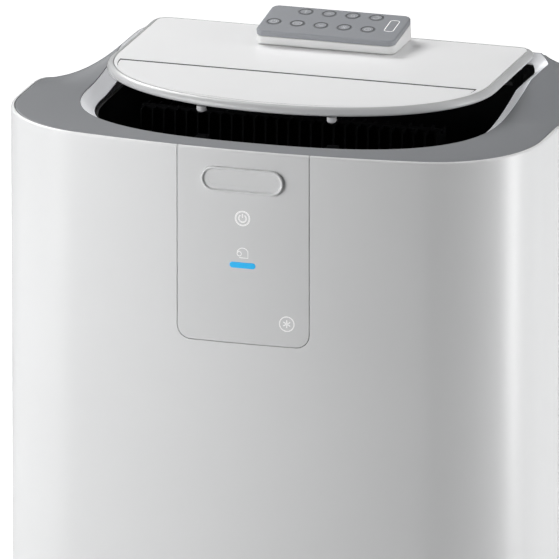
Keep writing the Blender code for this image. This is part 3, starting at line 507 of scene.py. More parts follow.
def wall(name, columns, height, cells, look, body, slot, node, rim=True, soften=EDGE_ROUND):
    """A piece of the case's wall, with its rim rolled over and its other edges eased."""
    bm = bmesh.new()
    add_shell(bm, columns, height, cells)
    if rim:
        round_edges(bm, RIM_ROUND, 5, keep=is_rim)
    round_edges(bm, soften, 2)
    return piece(name, bm, look, body, slot, [node])


# Casings ----------------------------------------------------------------------

def panel_edge(x, grow):
    """Lower edge of the control panel at a station in X, with its rounded corners."""
    half, radius = PANEL_HALF + grow, PANEL_CORNER + grow
    low = DECK_Z - PANEL_TALL - grow
    run = abs(x) - (half - radius)
    if run <= 0:
        return low
    return low + radius - math.sqrt(max(radius * radius - run * run, 0.0))


def panel_stations(grow):
    """Stations across the panel, close together where its corners turn."""
    half, radius = PANEL_HALF + grow, PANEL_CORNER + grow
    turn = [half - radius + radius * math.sin(math.radians(a)) for a in range(10, 91, 10)]
    return [-x for x in turn[::-1]] + spread([-(half - radius), half - radius], COLUMN_STEP) + turn


def is_rim(edge):
    """Whether an edge runs along the outer side of the casing's rim."""
    (xa, ya, za), (xb, yb, zb) = edge.verts[0].co, edge.verts[1].co
    on_rim = all(abs(z - DECK_Z - rim_height(y - FRONT_Y)) < 1e-6 for y, z in ((ya, za), (yb, zb)))
    level = math.hypot(xa - xb, ya - yb) > 1e-5
    normals = [f.normal for f in edge.link_faces]
    outward = Vector(((xa + xb) / 2, (ya + yb) / 2, 0)).normalized()
    return on_rim and level and any(n.dot(outward) > 0.5 for n in normals)


def front_casing():
    """Wrap-round front: one wall with a bay for the control panel, open at the top."""
    sides = spread([SEAM_Y - SEAM / 2, CORNER_Y], SIDE_STEP)[:-1]
    middle = panel_stations(SEAM)
    outer = spread([-JOIN_X, middle[0]], BOW_STEP)[:-1]
    stations = outer + middle + [-x for x in outer[::-1]]
    columns = (side_columns(-1, sides) + corner_columns(-1, -1) + bow_columns(stations, -1)
               + corner_columns(1, -1)[::-1] + side_columns(1, sides[::-1]))
    first = len(sides) + len(corner_columns(-1, -1)) + len(outer)
    last = first + len(middle) - 1
    low_rows = spread([CASE_BOTTOM, DECK_Z - PANEL_TALL - 0.010], ROW_STEP)
    turn, top_rows = 2, 5
    rows = len(low_rows) - 1 + turn + top_rows

    def height(i, j):
        x, y = columns[i][0]
        if j < len(low_rows):
            return low_rows[j]
        edge = panel_edge(x if first <= i <= last else PANEL_HALF + SEAM, SEAM)
        base, step = low_rows[-1], j - len(low_rows) + 1
        if step <= turn:
            return base + (edge - base) * step / turn
        return edge + (DECK_Z + rim_height(y - FRONT_Y) - edge) * (step - turn) / top_rows

    bay = {(i, j) for i in range(first, last) for j in range(len(low_rows) - 1 + turn, rows)}
    cells = {(i, j) for i in range(len(columns) - 1) for j in range(rows)} - bay
    wall("case_front", columns, height, cells, "case", "housing", "white_satin", "front_casing")


def control_panel():
    """Fascia that fills the bay, flush with the case round it."""
    columns = bow_columns(panel_stations(0.0), -1)
    rows = 8

    def height(i, j):
        x, y = columns[i][0]
        edge = panel_edge(x, 0.0)
        return edge + (DECK_Z + rim_height(y - FRONT_Y) - edge) * j / rows

    cells = {(i, j) for i in range(len(columns) - 1) for j in range(rows)}
    wall("panel_fascia", columns, height, cells, "panel", "housing", "silver_satin", "control_panel",
         soften=PANEL_ROUND)


def rear_casing():
    """Back half of the case, with bays for the intake door, the lower grille, the exhaust and the grips."""
    door, grille, spigot = (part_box(node) for node in ("intake_door", "lower_grille", "exhaust_spigot"))
    grip_low, grip_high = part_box("handle_cup_right")

    def bay(box, room):
        return box[0].x - room, box[1].x + room, box[0].z - room, box[1].z + room

    plate = bay(spigot, 0.008)
    bays = (bay(door, SEAM), bay(grille, SEAM), plate)
    stops = sorted({-JOIN_X, JOIN_X} | {x for sides in bays for x in sides[:2] if abs(x) < JOIN_X})
    bow = spread(stops, COLUMN_STEP)
    ys = spread([SEAM_Y + SEAM / 2, grip_low.y - FIT, grip_high.y + FIT, -CORNER_Y], SIDE_STEP)[:-1]
    columns = (side_columns(1, ys) + corner_columns(1, 1, 24) + bow_columns(bow[::-1], 1)
               + corner_columns(-1, 1, 24)[::-1] + side_columns(-1, ys[::-1]))
    levels = sorted({CASE_BOTTOM, DECK_Z - 0.045, grip_low.z - FIT, grip_high.z + FIT}
                    | {z for sides in bays for z in sides[2:]})
    rows = spread(levels, ROW_STEP)

    def height(i, j):
        if j < len(rows):
            return rows[j]
        return DECK_Z + rim_height(columns[i][0][1] - FRONT_Y)

    def open_at(i, j):
        (xa, ya), (xb, yb) = columns[i][0], columns[i + 1][0]
        x, y, z = (xa + xb) / 2, (ya + yb) / 2, (height(i, j) + height(i, j + 1)) / 2
        in_grip = (abs(columns[i][1][0]) > 0.999 and grip_low.y - FIT < y < grip_high.y + FIT
                   and grip_low.z < z < grip_high.z)
        return in_grip or any(y > 0.1 and left < x < right and low < z < high
                              for left, right, low, high in bays)

    cells = {(i, j) for i in range(len(columns) - 1) for j in range(len(rows)) if not open_at(i, j)}
    wall("case_rear", columns, height, cells, "case", "housing", "white_satin", "rear_casing")
    exhaust_plate(plate)


def back_y(x):
    """World Y of the back wall at a station in X, on the bow or on the corner beyond it."""
    if abs(x) <= JOIN_X:
        return -BOW_CENTRE + math.sqrt(FRONT_RADIUS ** 2 - x * x)
    return -CORNER_Y + math.sqrt(max(CORNER_RADIUS ** 2 - (abs(x) - CORNER_X) ** 2, 0.0))


def exhaust_plate(plate):
    """Panel round the exhaust collar, bowed like the wall, and the collar itself with its duct."""
    low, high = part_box("exhaust_spigot")
    x, _, z = middle_of(low, high)
    radius, length = (high.x - low.x) / 2, high.y - low.y
    steps = 64
    half_x, half_z = (plate[1] - plate[0]) / 2 - SEAM, (plate[3] - plate[2]) / 2 - SEAM
    square = []
    for k in range(steps):
        c, s = math.cos(2 * math.pi * k / steps), math.sin(2 * math.pi * k / steps)
        reach = 1 / max(abs(c) / half_x, abs(s) / half_z)
        square.append((x + c * reach, z + s * reach))
    sections = []
    for outer, inner in zip(square, arc((x, z), radius + 0.0008, 0, 360, steps)):
        line = [Vector(outer).lerp(Vector(inner), t) for t in (0.0, 0.35, 0.7, 1.0)]
        sections.append([(p.x, back_y(p.x), p.y) for p in line]
                        + [(p.x, back_y(p.x) - WALL, p.y) for p in line[::-1]])
    bm = bmesh.new()
    add_ring(bm, sections)
    round_edges(bm, 0.0004, 2)
    piece("exhaust_plate", bm, "case", "housing", "white_satin")
    inner = radius - 0.003
    profile = ((inner, 0.0), (radius, 0.0), (radius, length - 0.018), (radius, length - 0.001),
               (radius - 0.0010, length), (radius - 0.0020, length), (inner, length - 0.001),
               (inner, length - 0.030))
    turned("exhaust_collar", profile, (x, low.y, z), "Y", 72, "case", "housing", "white_satin",
           ["exhaust_spigot"], sharp=30)


def louvred(name, node, body, rows, border):
    """Part of the back wall with rows of slots either side of a middle bar, following the wall's bow."""
    low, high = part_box(node)
    centre, bar = (low.x + high.x) / 2, 0.005
    stops = [low.x, low.x + border, centre - bar, centre + bar, high.x - border, high.x]
    columns = [((x, back_y(x)), (normal_x(x), normal_y(x))) for x in spread(stops, COLUMN_STEP)[::-1]]
    pitch = (high.z - low.z - 2 * border) / rows
    levels = [low.z, low.z + border]
    for k in range(rows):
        base = low.z + border + pitch * k
        levels += [base + pitch * SLOT_SHARE, base + pitch]
    levels.append(high.z)

    def open_at(i, j):
        x = (columns[i][0][0] + columns[i + 1][0][0]) / 2
        return (j % 2 == 1 and j <= 2 * rows and abs(x - centre) > bar
                and border < x - low.x < high.x - low.x - border)

    cells = {(i, j) for i in range(len(columns) - 1) for j in range(len(levels) - 1) if not open_at(i, j)}
    wall(name, columns, lambda i, j: levels[j], cells, "case", body, "white_satin", node, rim=False)


def normal_x(x):
    if abs(x) <= JOIN_X:
        return x / FRONT_RADIUS
    return math.copysign((abs(x) - CORNER_X) / CORNER_RADIUS, x)


def normal_y(x):
    return math.sqrt(1 - normal_x(x) ** 2)


# Deck and well ----------------------------------------------------------------

def deck():
    """Grey top frame with its ramps, and the pale trim that slopes into the well; the trim's glow is painted
    light.
    """
    centre = (0.0, back(CREASE))
    well, foot = well_outline(0.0), well_outline(TRIM_IN, 0.0010)
    # Shares of the way from the rim to the well, close together where the sheet sinks at its ends
    shares = [0.0, 0.008, 0.02, 0.05] + [0.1 + 0.075 * k for k in range(12)] + [0.97, 0.992, 1.0]
    sink = {0: 0.0012, 1: 0.0004, len(shares) - 1: 0.0004}
    tops, trims = [], []
    skirt, sheet = 0.012, 0.0020
    for rim in case_loop(WALL + FIT):
        edge, low = ray_hit(well, centre, rim), ray_hit(foot, centre, rim)
        line = [Vector(rim).lerp(edge, t) for t in shares]
        top = [Vector((p.x, p.y, DECK_Z + deck_height(p.x, p.y) - sink.get(k, 0.0)))
               for k, p in enumerate(line)]
        under = [p - Vector((0, 0, sheet)) for p in top[::-1]]
        wall_in = Vector(rim).lerp(edge, 0.03)
        tops.append([(rim[0], rim[1], top[0].z - skirt)] + top + under[:-3]
                    + [(wall_in.x, wall_in.y, top[0].z - skirt)])
        z = top[-1].z
        start, out = Vector(edge).lerp(low, 0.005), Vector(edge).lerp(low, -0.10)
        tip_out = Vector(low).lerp(edge, 0.16)
        trims.append([(start.x, start.y, z - 0.0002), (low.x, low.y, z - TRIM_DROP),
                      (tip_out.x, tip_out.y, z - TRIM_DROP - 0.0016), (out.x, out.y, z - 0.0026)])
    top = ringed("deck_top", tops, "deck", "housing", "deck_grey", ["deck_frame"], sharp=24)
    for edge in top.data.edges:
        if all(abs(top.data.vertices[k].co.y - back(CREASE)) < 1e-5 for k in edge.vertices):
            edge.use_edge_sharp = True
    ringed("well_trim", trims, "trim", "housing", "deck_grey")


# Lid --------------------------------------------------------------------------

GAP_ARC, GAP_CHORD, BUMPER_SHOW = 0.0012, 0.0032, 0.0050
LUG_R, LUG_IN, LUG_OUT = 0.006, 0.140, 0.1567


def insert_outline(arc_inset, chord_inset):
    """Half-moon outline: a half ellipse in front of a straight chord."""
    steps = 48
    half, chord = INSERT_HALF - arc_inset, back(INSERT_CHORD - chord_inset)
    depth = INSERT_CHORD - INSERT_FRONT - arc_inset - chord_inset
    return [(half * math.cos(math.pi * k / steps), chord - depth * math.sin(math.pi * k / steps))
            for k in range(steps + 1)]


def lid():
    """Raised outlet lid: a flat top in a rolled silver edge band, and a half-moon insert in a seam darkened
    by a sheet of painted shade.
    """
    under = LID_TOP - LID_THICK
    levels = ((0.012, under), (0.0068, under), (0.0062, under + 0.0005), (0.0062, LID_TOP - 0.0006),
              (0.0065, LID_TOP - 0.0001), (0.0071, LID_TOP))
    plate = stacked("lid_shell", [[(x, y, z) for x, y in lid_outline(inset)] for inset, z in levels], "lid",
                    "lid", "silver_satin", ["lid_plate"], sharp=40)
    recess = bmesh.new()
    floor = LID_TOP - INSERT_DEPTH
    add_stack(recess, [[(x, y, z) for x, y in insert_outline(0.0, 0.0)] for z in (floor, LID_TOP + 0.01)])
    cut_out(plate, recess)
    lid_edge(under)
    moon = ((0.0, floor + 0.0001), (0.0, LID_TOP - 0.0004), (0.0003, LID_TOP - 0.0001), (0.0007, LID_TOP))
    stacked("lid_moon", [[(x, y, z) for x, y in insert_outline(GAP_ARC + inset, GAP_CHORD + inset)]
                         for inset, z in moon], "lid", "lid", "silver_satin", ["lid_insert"])
    # A dark sheet fills the gap round the insert: painted shade for the gap, no part of the lid.
    outer, inner = insert_outline(0.0001, 0.0001), insert_outline(GAP_ARC - 0.0001, GAP_CHORD - 0.0001)
    low, high = floor + 0.0001, LID_TOP - 0.0002
    ringed("lid_gap_shade", [[(*a, low), (*a, high), (*b, high), (*b, low)] for a, b in zip(outer, inner)], "seam",
           "lid", "silver_satin")
    bumpers()
    lugs()


def lid_edge(under):
    """Rolled band round the lid, parted from its top by a fine groove; its darker silver is painted shade."""
    rise = LID_TOP - under
    section = ((0.0058, 0.0010), (0.0058, rise - 0.0004), (0.0053, rise), (0.0040, rise - 0.0002),
               (0.0024, rise - 0.0010), (0.0011, rise - 0.0022), (0.0003, rise - 0.0037),
               (0.0, rise - 0.0050), (0.0005, rise - 0.0063), (0.0017, rise - 0.0073), (0.0034, 0.0002),
               (0.0052, 0.0002))
    loops = [[(x, y, under + up) for x, y in lid_outline(inset)] for inset, up in section]
    ringed("lid_band", list(zip(*loops)), "lid_edge", "lid", "silver_satin", sharp=50)


def bumpers():
    """Soft pads under the lid's front lip, each on a dark stem."""
    for side in ("left", "right"):
        node = f"lid_bumper_{side}"
        low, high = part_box(node)
        x, y, _ = middle_of(low, high)
        radius, tall = (high.x - low.x) / 2, high.z - low.z
        neck = tall - BUMPER_SHOW
        pad = ((0.0, neck), (radius * 0.70, neck), (radius * 0.92, neck + 0.0007), (radius, neck + 0.0018),
               (radius, tall), (0.0, tall))
        stem = ((0.0, 0.0), (radius * 0.30, 0.0), (radius * 0.42, 0.0008), (radius * 0.42, neck + 0.0010),
                (0.0, neck + 0.0010))
        place = ((x, y, low.z), "Z", 32)
        turned(f"bumper_{side}_pad", pad, *place, "soft", "lid", "rubber_grey", [node])
        turned(f"bumper_{side}_stem", stem, *place, "rubber", "lid", "rubber_grey")


def lugs():
    """Hinge lugs under the lid, where the pins run."""
    _, y, z = middle_of(*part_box("hinge_pin_right"))
    top = LID_TOP - LID_THICK + 0.0005
    outline = [(y + LUG_R, top), (y - LUG_R, top)] + arc((y, z), LUG_R, 180, 360, 16)
    for side, name in ((-1, "left"), (1, "right")):
        bm = bmesh.new()
        add_stack(bm, [[(x, py, pz) for py, pz in outline] for x in sorted((side * LUG_IN, side * LUG_OUT))])
        round_edges(bm, 0.0004, 2, angle=60)
        piece(f"hinge_lug_{name}", bm, "lid", "lid", "silver_satin")


def cut_out(obj, cutter_mesh):
    """Cuts a shape out of a piece, and drops the cutter."""
    bmesh.ops.recalc_face_normals(cutter_mesh, faces=cutter_mesh.faces)
    cutter = placed("cutter", mesh_of("cutter", cutter_mesh))
    obj.modifiers.clear()
    step = obj.modifiers.new("cut", "BOOLEAN")
    step.operation = "DIFFERENCE"
    step.object = cutter
    depsgraph = bpy.context.evaluated_depsgraph_get()
    result = bpy.data.meshes.new_from_object(obj.evaluated_get(depsgraph))
    obj.modifiers.clear()
    obj.data = result
    bpy.data.objects.remove(cutter)
    even_normals(obj, 40)


# Control panel's details ------------------------------------------------------

def on_front(point, lift):
    """A point in X and Z, and how far it stands out, on the bowed front wall."""
    x, z = point
    angle = math.asin(x / FRONT_RADIUS)
    radius = FRONT_RADIUS + lift
    return Vector((radius * math.sin(angle), BOW_CENTRE - radius * math.cos(angle), z))


def panel_print(name, lines, width):
    """White printed symbol on the fascia, with a painted glow."""
    stroked(name, lines, width, on_front, 0.00012, "print", "housing", "silver_satin")


def panel_details():
    """Touch rings with their symbols, the room symbol, the light bar and the badge."""
    x, z = power = (0.0, DECK_Z - 0.0615)
    panel_print("power_ring", [(arc(power, 0.0064, 0, 360, 40), True)], 0.0012)
    stem = [(x, z + 0.0008), (x, z + 0.0042)]
    panel_print("power_symbol", [(arc(power, 0.0034, 125, 415, 28), False), (stem, False)], 0.0010)
    x, z = 0.0, DECK_Z - 0.0936
    house = ([(x - 0.0030, z - 0.0040), (x + 0.0050, z - 0.0040), (x + 0.0050, z + 0.0020)]
             + arc((x + 0.0002, z - 0.0002), 0.0052, 38, 170, 12))
    dot = arc((x - 0.0030, z - 0.0004), 0.0020, 0, 360, 20)
    panel_print("room_symbol", [(house, False), (dot, True)], 0.0006)
    x, z = mode = (0.0405, DECK_Z - 0.155)
    panel_print("mode_ring", [(arc(mode, 0.0066, 0, 360, 40), True)], 0.0008)
    spokes = []
    for k in range(3):
        turn = math.pi * k / 3 + math.pi / 2
        c, s = 0.0036 * math.cos(turn), 0.0036 * math.sin(turn)
        spokes.append(([(x - c, z - s), (x + c, z + s)], False))
    panel_print("mode_symbol", spokes, 0.0008)
    light_bar()
    badge()


def capsule(node, inset):
    """Outline of a capsule that fills a node's box in X and Z, less an inset."""
    low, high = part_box(node)
    x, _, z = middle_of(low, high)
    half_x, half_z = (high.x - low.x) / 2 - inset, (high.z - low.z) / 2 - inset
    return (arc((x - half_x + half_z, z), half_z, 90, 270, 12)
            + arc((x + half_x - half_z, z), half_z, 270, 450, 12))


def light_bar():
    levels = ((0.0, -0.0012), (0.0, 0.0), (0.0003, 0.0003), (0.0008, 0.0005))
    loops = [[on_front(p, lift) for p in capsule("light_bar", inset)] for inset, lift in levels]
    stacked("status_light", loops, "light", "housing", "blue_light", ["light_bar"])


def badge():
    """Plain raised capsule with a rounded rim round a shallow dish."""
    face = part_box("badge_capsule")[0].y
    proud = FRONT_Y - face
    levels = ((0.0, -0.0010), (0.0, proud - 0.0010), (0.0003, proud - 0.0004), (0.0009, proud),
              (0.0015, proud), (0.0021, proud - 0.0004), (0.0026, proud - 0.0014), (0.0032, proud - 0.0017))
    stacked("badge_plain", [[(x, FRONT_Y - lift, z) for x, z in capsule("badge_capsule", inset)]
                            for inset, lift in levels],
            "panel", "housing", "silver_satin", ["badge_capsule"], sharp=50)
    stroked("badge_line", [(capsule("badge_capsule", 0.0062), True)], 0.0007,
            lambda p, lift: Vector((p[0], face + 0.0017 - lift, p[1])), 0.0002, "panel", "housing",
            "silver_satin")


# Remote control ---------------------------------------------------------------

REMOTE_HALF, REMOTE_DEEP, REMOTE_FRONT, REMOTE_CORNER = 0.0645, 0.058, 0.2435, 0.007
REMOTE_BASE, REMOTE_TILT = 0.008, math.radians(8)
REMOTE_TOP = REMOTE_BASE + 0.0055
KEY_R, KEY_PROUD, KEY_TRAVEL, KEY_WELL = 0.0065, 0.0004, 0.0008, 0.0010


def on_remote(x, along, height):
    """A place on the remote: across it, back from its front edge, and over its tilted plane."""
    c, s = math.cos(REMOTE_TILT), math.sin(REMOTE_TILT)
    return (x, back(REMOTE_FRONT) + along * c - height * s, LID_TOP + FIT + along * s + height * c)


def remote_plan(inset):
    """Outline of the remote in its own plane."""
    return rounded_rectangle((-REMOTE_HALF + inset, inset), (REMOTE_HALF - inset, REMOTE_DEEP - inset),
                             max(REMOTE_CORNER - inset, 0.002), 8)


def quarter_round(radius):
    """Insets and falls of a rounded edge, from its side to its face."""
    turns = [math.pi / 8 * k for k in range(5)]
    return [(radius * (1 - math.cos(turn)), radius * (1 - math.sin(turn))) for turn in turns]


def on_plan(outline, height):
    """An outline in the remote's plane, raised to a height over it."""
    return [on_remote(x, along, height) for x, along in outline]


def remote_base():
    """White wedge with its foot rounded."""
    low = LID_TOP + FIT
    foot = [[(x, back(REMOTE_FRONT) + along, low + fall) for x, along in remote_plan(inset)]
            for inset, fall in ((0.0018, 0.0), (0.0008, 0.0004), (0.0002, 0.0012), (0.0, 0.0022))]
    face = [on_plan(remote_plan(inset), REMOTE_BASE - fall) for inset, fall in ((0.0, 0.0003), (0.0003, 0.0))]
    stacked("remote_case", foot + face, "remote_white", "remote", "white_satin", ["remote_base"], sharp=45)


def remote_shell():
    """Grey face with a soft edge and a well for each key."""
    levels = [(0.0002, REMOTE_BASE + FIT), (0.0, REMOTE_BASE + FIT + 0.0003)]
    levels += [(inset, REMOTE_TOP - fall) for inset, fall in quarter_round(0.0014)]
    loops = [on_plan(remote_plan(inset), height) for inset, height in levels]
    shell = stacked("remote_face", loops, "remote", "remote", "remote_grey", ["remote_top"], sharp=45)
    wells = bmesh.new()
    for place in key_places():
        well = arc(place, KEY_R + 0.0004, 0, 360, 40)
        add_stack(wells, [on_plan(well, height) for height in (REMOTE_BASE + KEY_WELL, REMOTE_TOP + 0.01)])
    cut_out(shell, wells)


def key_places():
    """Middles of the nine keys: five in the front row and four in the rear row."""
    pitch, first = 0.0218, -2.44
    front = [((k + first) * pitch, 0.0215) for k in range(5)]
    return front + [((k + first) * pitch, 0.0475) for k in range(1, 5)]


def remote_key(index, place):
    """Round key in a dark ring, with a printed symbol."""
    x, along = place
    top, foot = REMOTE_TOP + KEY_PROUD, REMOTE_BASE + KEY_WELL + KEY_TRAVEL + FIT / 2
    levels = ((0.0, foot), (0.0, top - 0.0005), (0.0003, top - 0.0001), (0.0007, top), (0.0016, top - 0.0002),
              (0.0030, top - 0.0003))
    loops = [on_plan(arc(place, KEY_R - inset, 0, 360, 40), height) for inset, height in levels]
    body, slot = f"button_{index}", "remote_grey"
    stacked(f"key_{index}", loops, "key", body, slot, [f"remote_button_{index}"], sharp=50)

    def on_key(point, lift):
        return on_remote(x + point[0], along + point[1], top - 0.0003 + lift)

    ring = arc((0, 0), KEY_R - 0.0009, 0, 360, 40)
    stroked(f"key_{index}_ring", [(ring, True)], 0.0011, on_key, 0.00034, "groove", body, slot)
    marks = [mark_line(*mark) for mark in SYMBOLS[index]]
    stroked(f"key_{index}_symbol", marks, 0.0006, on_key, 0.00008, "key_print", body, slot)


SYMBOLS = {
    1: [("arc", 0.0026, 120, 420), ("line", (0, 0.0010), (0, 0.0034))],
    2: [("box", 0.0036, 0.0024), ("line", (-0.0018, 0), (0.0018, 0))],
    3: [("line", (-0.0022, 0.0009), (0, -0.0011)), ("line", (0, -0.0011), (0.0022, 0.0009))],
    4: [("line", (-0.0028, 0), (0.0028, 0)), ("line", (-0.0014, 0.0024), (0.0014, -0.0024)),
        ("line", (-0.0014, -0.0024), (0.0014, 0.0024))],
    5: [("arc", 0.0026, 0, 360), ("line", (0, 0), (0, 0.0017)), ("line", (0, 0), (0.0013, 0))],
    6: [("line", (0, -0.0028), (0, 0.0028)), ("line", (-0.0012, 0.0016), (0.0012, 0.0016))],
    7: [("line", (-0.0022, -0.0009), (0, 0.0011)), ("line", (0, 0.0011), (0.0022, -0.0009))],
    8: [("arc", 0.0016, 0, 360), ("line", (0.0014, -0.0014), (0.0028, -0.0028))],
    9: [("arc", 0.0026, 200, 460)],
}


def mark_line(kind, *sizes):
    """Points of one mark of a key's symbol, and whether they close."""
    if kind == "arc":
        radius, begin, end = sizes
        return arc((0, 0), radius, begin, end, 24), end - begin >= 360
    if kind == "line":
        return sizes, False
    half_x, half_y = sizes
    return rounded_rectangle((-half_x, -half_y), (half_x, half_y), 0.0008, 3), True


def remote_mark():
    """Plain printed outline beside the keys, with a painted glow."""
    outline = rounded_rectangle((0.0488, 0.021), (0.0572, 0.045), 0.0028)
    stroked("remote_outline", [(outline, True)], 0.0008,
            lambda p, lift: Vector(on_remote(*p, REMOTE_TOP + lift)), 0.00006, "print", "remote",
            "remote_grey")


def battery_door():
    """Cover under the remote, with four grip ribs at one end."""
    low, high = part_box("battery_cover")
    bm = bmesh.new()
    add_box(bm, low, high)
    round_edges(bm, EDGE_ROUND, 2)
    for k in range(4):
        x = low.x + 0.006 + 0.0022 * k
        add_box(bm, (x, low.y + 0.008, low.z - 0.0003), (x + 0.0010, high.y - 0.008, low.z + 0.0002))
    piece("battery_door", bm, "remote_white", "battery_lid", "white_satin", ["battery_cover"])


def remote_control():
    remote_base()
    remote_shell()
    for index, place in enumerate(key_places()):
        remote_key(index + 1, place)
    remote_mark()
    battery_door()


# Underside, sides and back ----------------------------------------------------

CASTER_TRAIL, CHEEK = 0.012, 0.0025


def casters():
    """Four wheels with a raised tread and hub, and the swivel forks over them."""
    bore, hub, dish = 0.0033, 0.0065, 0.0016
    for k in range(1, 5):
        low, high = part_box(f"caster_wheel_{k}")
        _, y, z = middle_of(low, high)
        radius, wide = (high.z - low.z) / 2, high.x - low.x
        half = [(bore, 0.0), (hub, 0.0), (hub + 0.0005, dish), (radius - 0.0045, dish),
                (radius - 0.0035, 0.0), (radius - 0.0012, 0.0004), (radius, 0.0030)]
        tread = half + [(r, wide - up) for r, up in half[::-1]]
        turned(f"wheel_{k}_tyre", tread, (low.x, y, z), "X", 48, "rubber", f"wheel_{k}", "rubber_black",
               [f"caster_wheel_{k}"], sharp=40)
        fork(k, low, high)


def fork(k, wheel_low, wheel_high):
    """Swivel fork: a round plate and stem over the wheel, two cheeks, and an axle."""
    x = middle_of(*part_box(f"caster_fork_{k}"))[0]
    _, axle_y, axle_z = middle_of(wheel_low, wheel_high)
    y = axle_y - CASTER_TRAIL
    body, look, slot = f"fork_{k}", "black", "black_plastic"
    bm = bmesh.new()
    add_turned(bm, ((0.0, 0.0425), (0.0150, 0.0425), (0.016, 0.0435), (0.016, 0.0466), (0.0152, 0.0475),
                    (0.0, 0.0475)), (x, y, 0.0), steps=40)
    add_turned(bm, ((0.0, 0.0440), (0.005, 0.0440), (0.005, 0.0575), (0.0, 0.0578)), (x, y, 0.0), steps=24)
    piece(f"fork_{k}_plate", bm, look, body, slot, [f"caster_fork_{k}"], sharp=50)
    gap = (wheel_high.x - wheel_low.x) / 2 + 0.0008
    outline = (arc((axle_y, axle_z), 0.0085, 180, 360, 14)
               + [(axle_y + 0.0070, 0.0300), (axle_y + 0.0040, 0.0440), (y - 0.0080, 0.0440),
                  (y - 0.0080, 0.0400)])
    bm = bmesh.new()
    for side in (-1, 1):
        sheet = sorted((x + side * gap, x + side * (gap + CHEEK)))
        add_stack(bm, [[(px, py, pz) for py, pz in outline] for px in sheet])
    long = 2 * gap + 2 * CHEEK - 0.0002
    add_turned(bm, ((0.0, 0.0), (0.003, 0.0), (0.003, long), (0.0, long)),
               (x - gap - CHEEK + 0.0001, axle_y, axle_z), "X", 20)
    piece(f"fork_{k}_cheeks", bm, look, body, slot, sharp=50)


def grips():
    """Moulded finger cups, set into the sides with a narrow lip."""
    levels = ((0.0, 0.0334), (0.0, 0.0006), (0.0, 0.0002), (0.0012, 0.0), (0.0026, 0.0010), (0.0030, 0.0200),
              (0.0060, 0.0295), (0.0110, 0.0315))
    for side, name in ((-1, "left"), (1, "right")):
        low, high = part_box(f"handle_cup_{name}")
        rims = []
        for inset, deep in levels:
            loop = rounded_rectangle((low.y + inset, low.z + inset), (high.y - inset, high.z - inset),
                                     max(0.009 - inset * 0.3, 0.004), 6)
            rims.append([(side * (HALF_WIDTH - deep), y, z) for y, z in loop])
        stacked(f"grip_{name}", rims, "deck", "housing", "deck_grey", [f"handle_cup_{name}"], sharp=40)


def rear_details():
    louvred("intake_cover", "intake_door", "door", 16, 0.014)
    louvred("lower_cover", "lower_grille", "housing", 14, 0.012)
    filter_mesh()
    for node, body in (("drain_plug", "lower_plug"), ("upper_drain_plug", "upper_plug")):
        rear_plug(node, body)
    cord_gland()


def rear_plug(node, body):
    """Rubber plug with a domed head."""
    low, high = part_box(node)
    x, _, z = middle_of(low, high)
    radius, long = (high.x - low.x) / 2, high.y - low.y
    neck, head = 0.008, long - 0.0027
    profile = ((0.0, 0.0), (neck - 0.0006, 0.0), (neck, 0.001), (neck, head), (radius - 0.0005, head),
               (radius, long - 0.0020), (radius - 0.0006, long - 0.0006), (radius - 0.0030, long),
               (radius - 0.0038, long - 0.0008), (0.0, long - 0.0008))
    turned(f"{node}_body", profile, (x, low.y, z), "Y", 40, "rubber", body, "rubber_black", [node])


def cord_gland():
    """Round gland with a bore for the cord."""
    low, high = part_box("cord_gland")
    x, _, z = middle_of(low, high)
    radius, long, bore = (high.x - low.x) / 2, high.y - low.y, 0.0045
    profile = ((bore, 0.0), (radius, 0.0), (radius, long - 0.0035), (radius - 0.0008, long - 0.0012),
               (radius - 0.0022, long), (bore + 0.0007, long), (bore, long - 0.0008))
    turned("gland_body", profile, (x, low.y, z), "Y", 40, "black", "housing", "black_plastic", ["cord_gland"])


def filter_mesh():
    """Net of the air filter: fine level threads in its frame."""
    low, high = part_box("air_filter")
    threads, margin, half = 45, 0.006, 0.0005
    bm = bmesh.new()
    for k in range(threads):
        z = low.z + margin + (high.z - low.z - 2 * margin) * k / (threads - 1)
        add_box(bm, (low.x + 0.002, low.y + 0.0048, z - half), (high.x - 0.002, low.y + 0.0056, z + half))
    piece("filter_net", bm, "black", "door", "black_plastic")


# Stage ------------------------------------------------------------------------

AZIMUTH, ELEVATION = 17.3, 16.6
LENS, SENSOR, VIEW_WIDTH = 1500.0, 36.0, 0.4904
AIM_RIGHT, AIM_UP = 0.0325, -0.1125

# Each light: azimuth, elevation, distance, size, spread, aim, power
LIGHTS = {
    "front_left": (-22, 15, 2.0, (0.6, 1.4), 100, (-0.20, -0.2, 0.68), 2.2),
    "key_left": (-35, 15, 1.6, (0.6, 1.4), 90, (-0.25, -0.2, 0.68), 4.3),
    "grazing_left": (-50, 10, 1.3, (0.4, 1.4), 70, (-0.22, -0.15, 0.70), 1.4),
    "rim_right": (95, 5, 1.4, (0.4, 1.4), 90, (0.24, 0.0, 0.64), 5.8),
    "back_left": (-124, 46, 2.4, (1.4, 1.0), 180, (0.0, 0.0, 0.7), 47.0),
    "top_right": (110, 55, 2.2, (1.2, 1.2), 180, (0.0, 0.0, 0.6), 12.0),
}


def towards(azimuth, elevation):
    """Unit vector to a place seen at an azimuth from the front and an elevation, in degrees."""
    a, e = math.radians(azimuth), math.radians(elevation)
    return Vector((math.sin(a) * math.cos(e), -math.cos(a) * math.cos(e), math.sin(e)))


def soft_box(name, azimuth, elevation, distance, size, spread_angle, aim, power):
    data = bpy.data.lights.new(name, "AREA")
    data.shape = "RECTANGLE"
    data.size, data.size_y = size
    data.spread = math.radians(spread_angle)
    data.energy = power
    light = placed(name, data)
    light.location = Vector(aim) + towards(azimuth, elevation) * distance
    light.rotation_euler = (-towards(azimuth, elevation)).to_track_quat("-Z", "Y").to_euler()


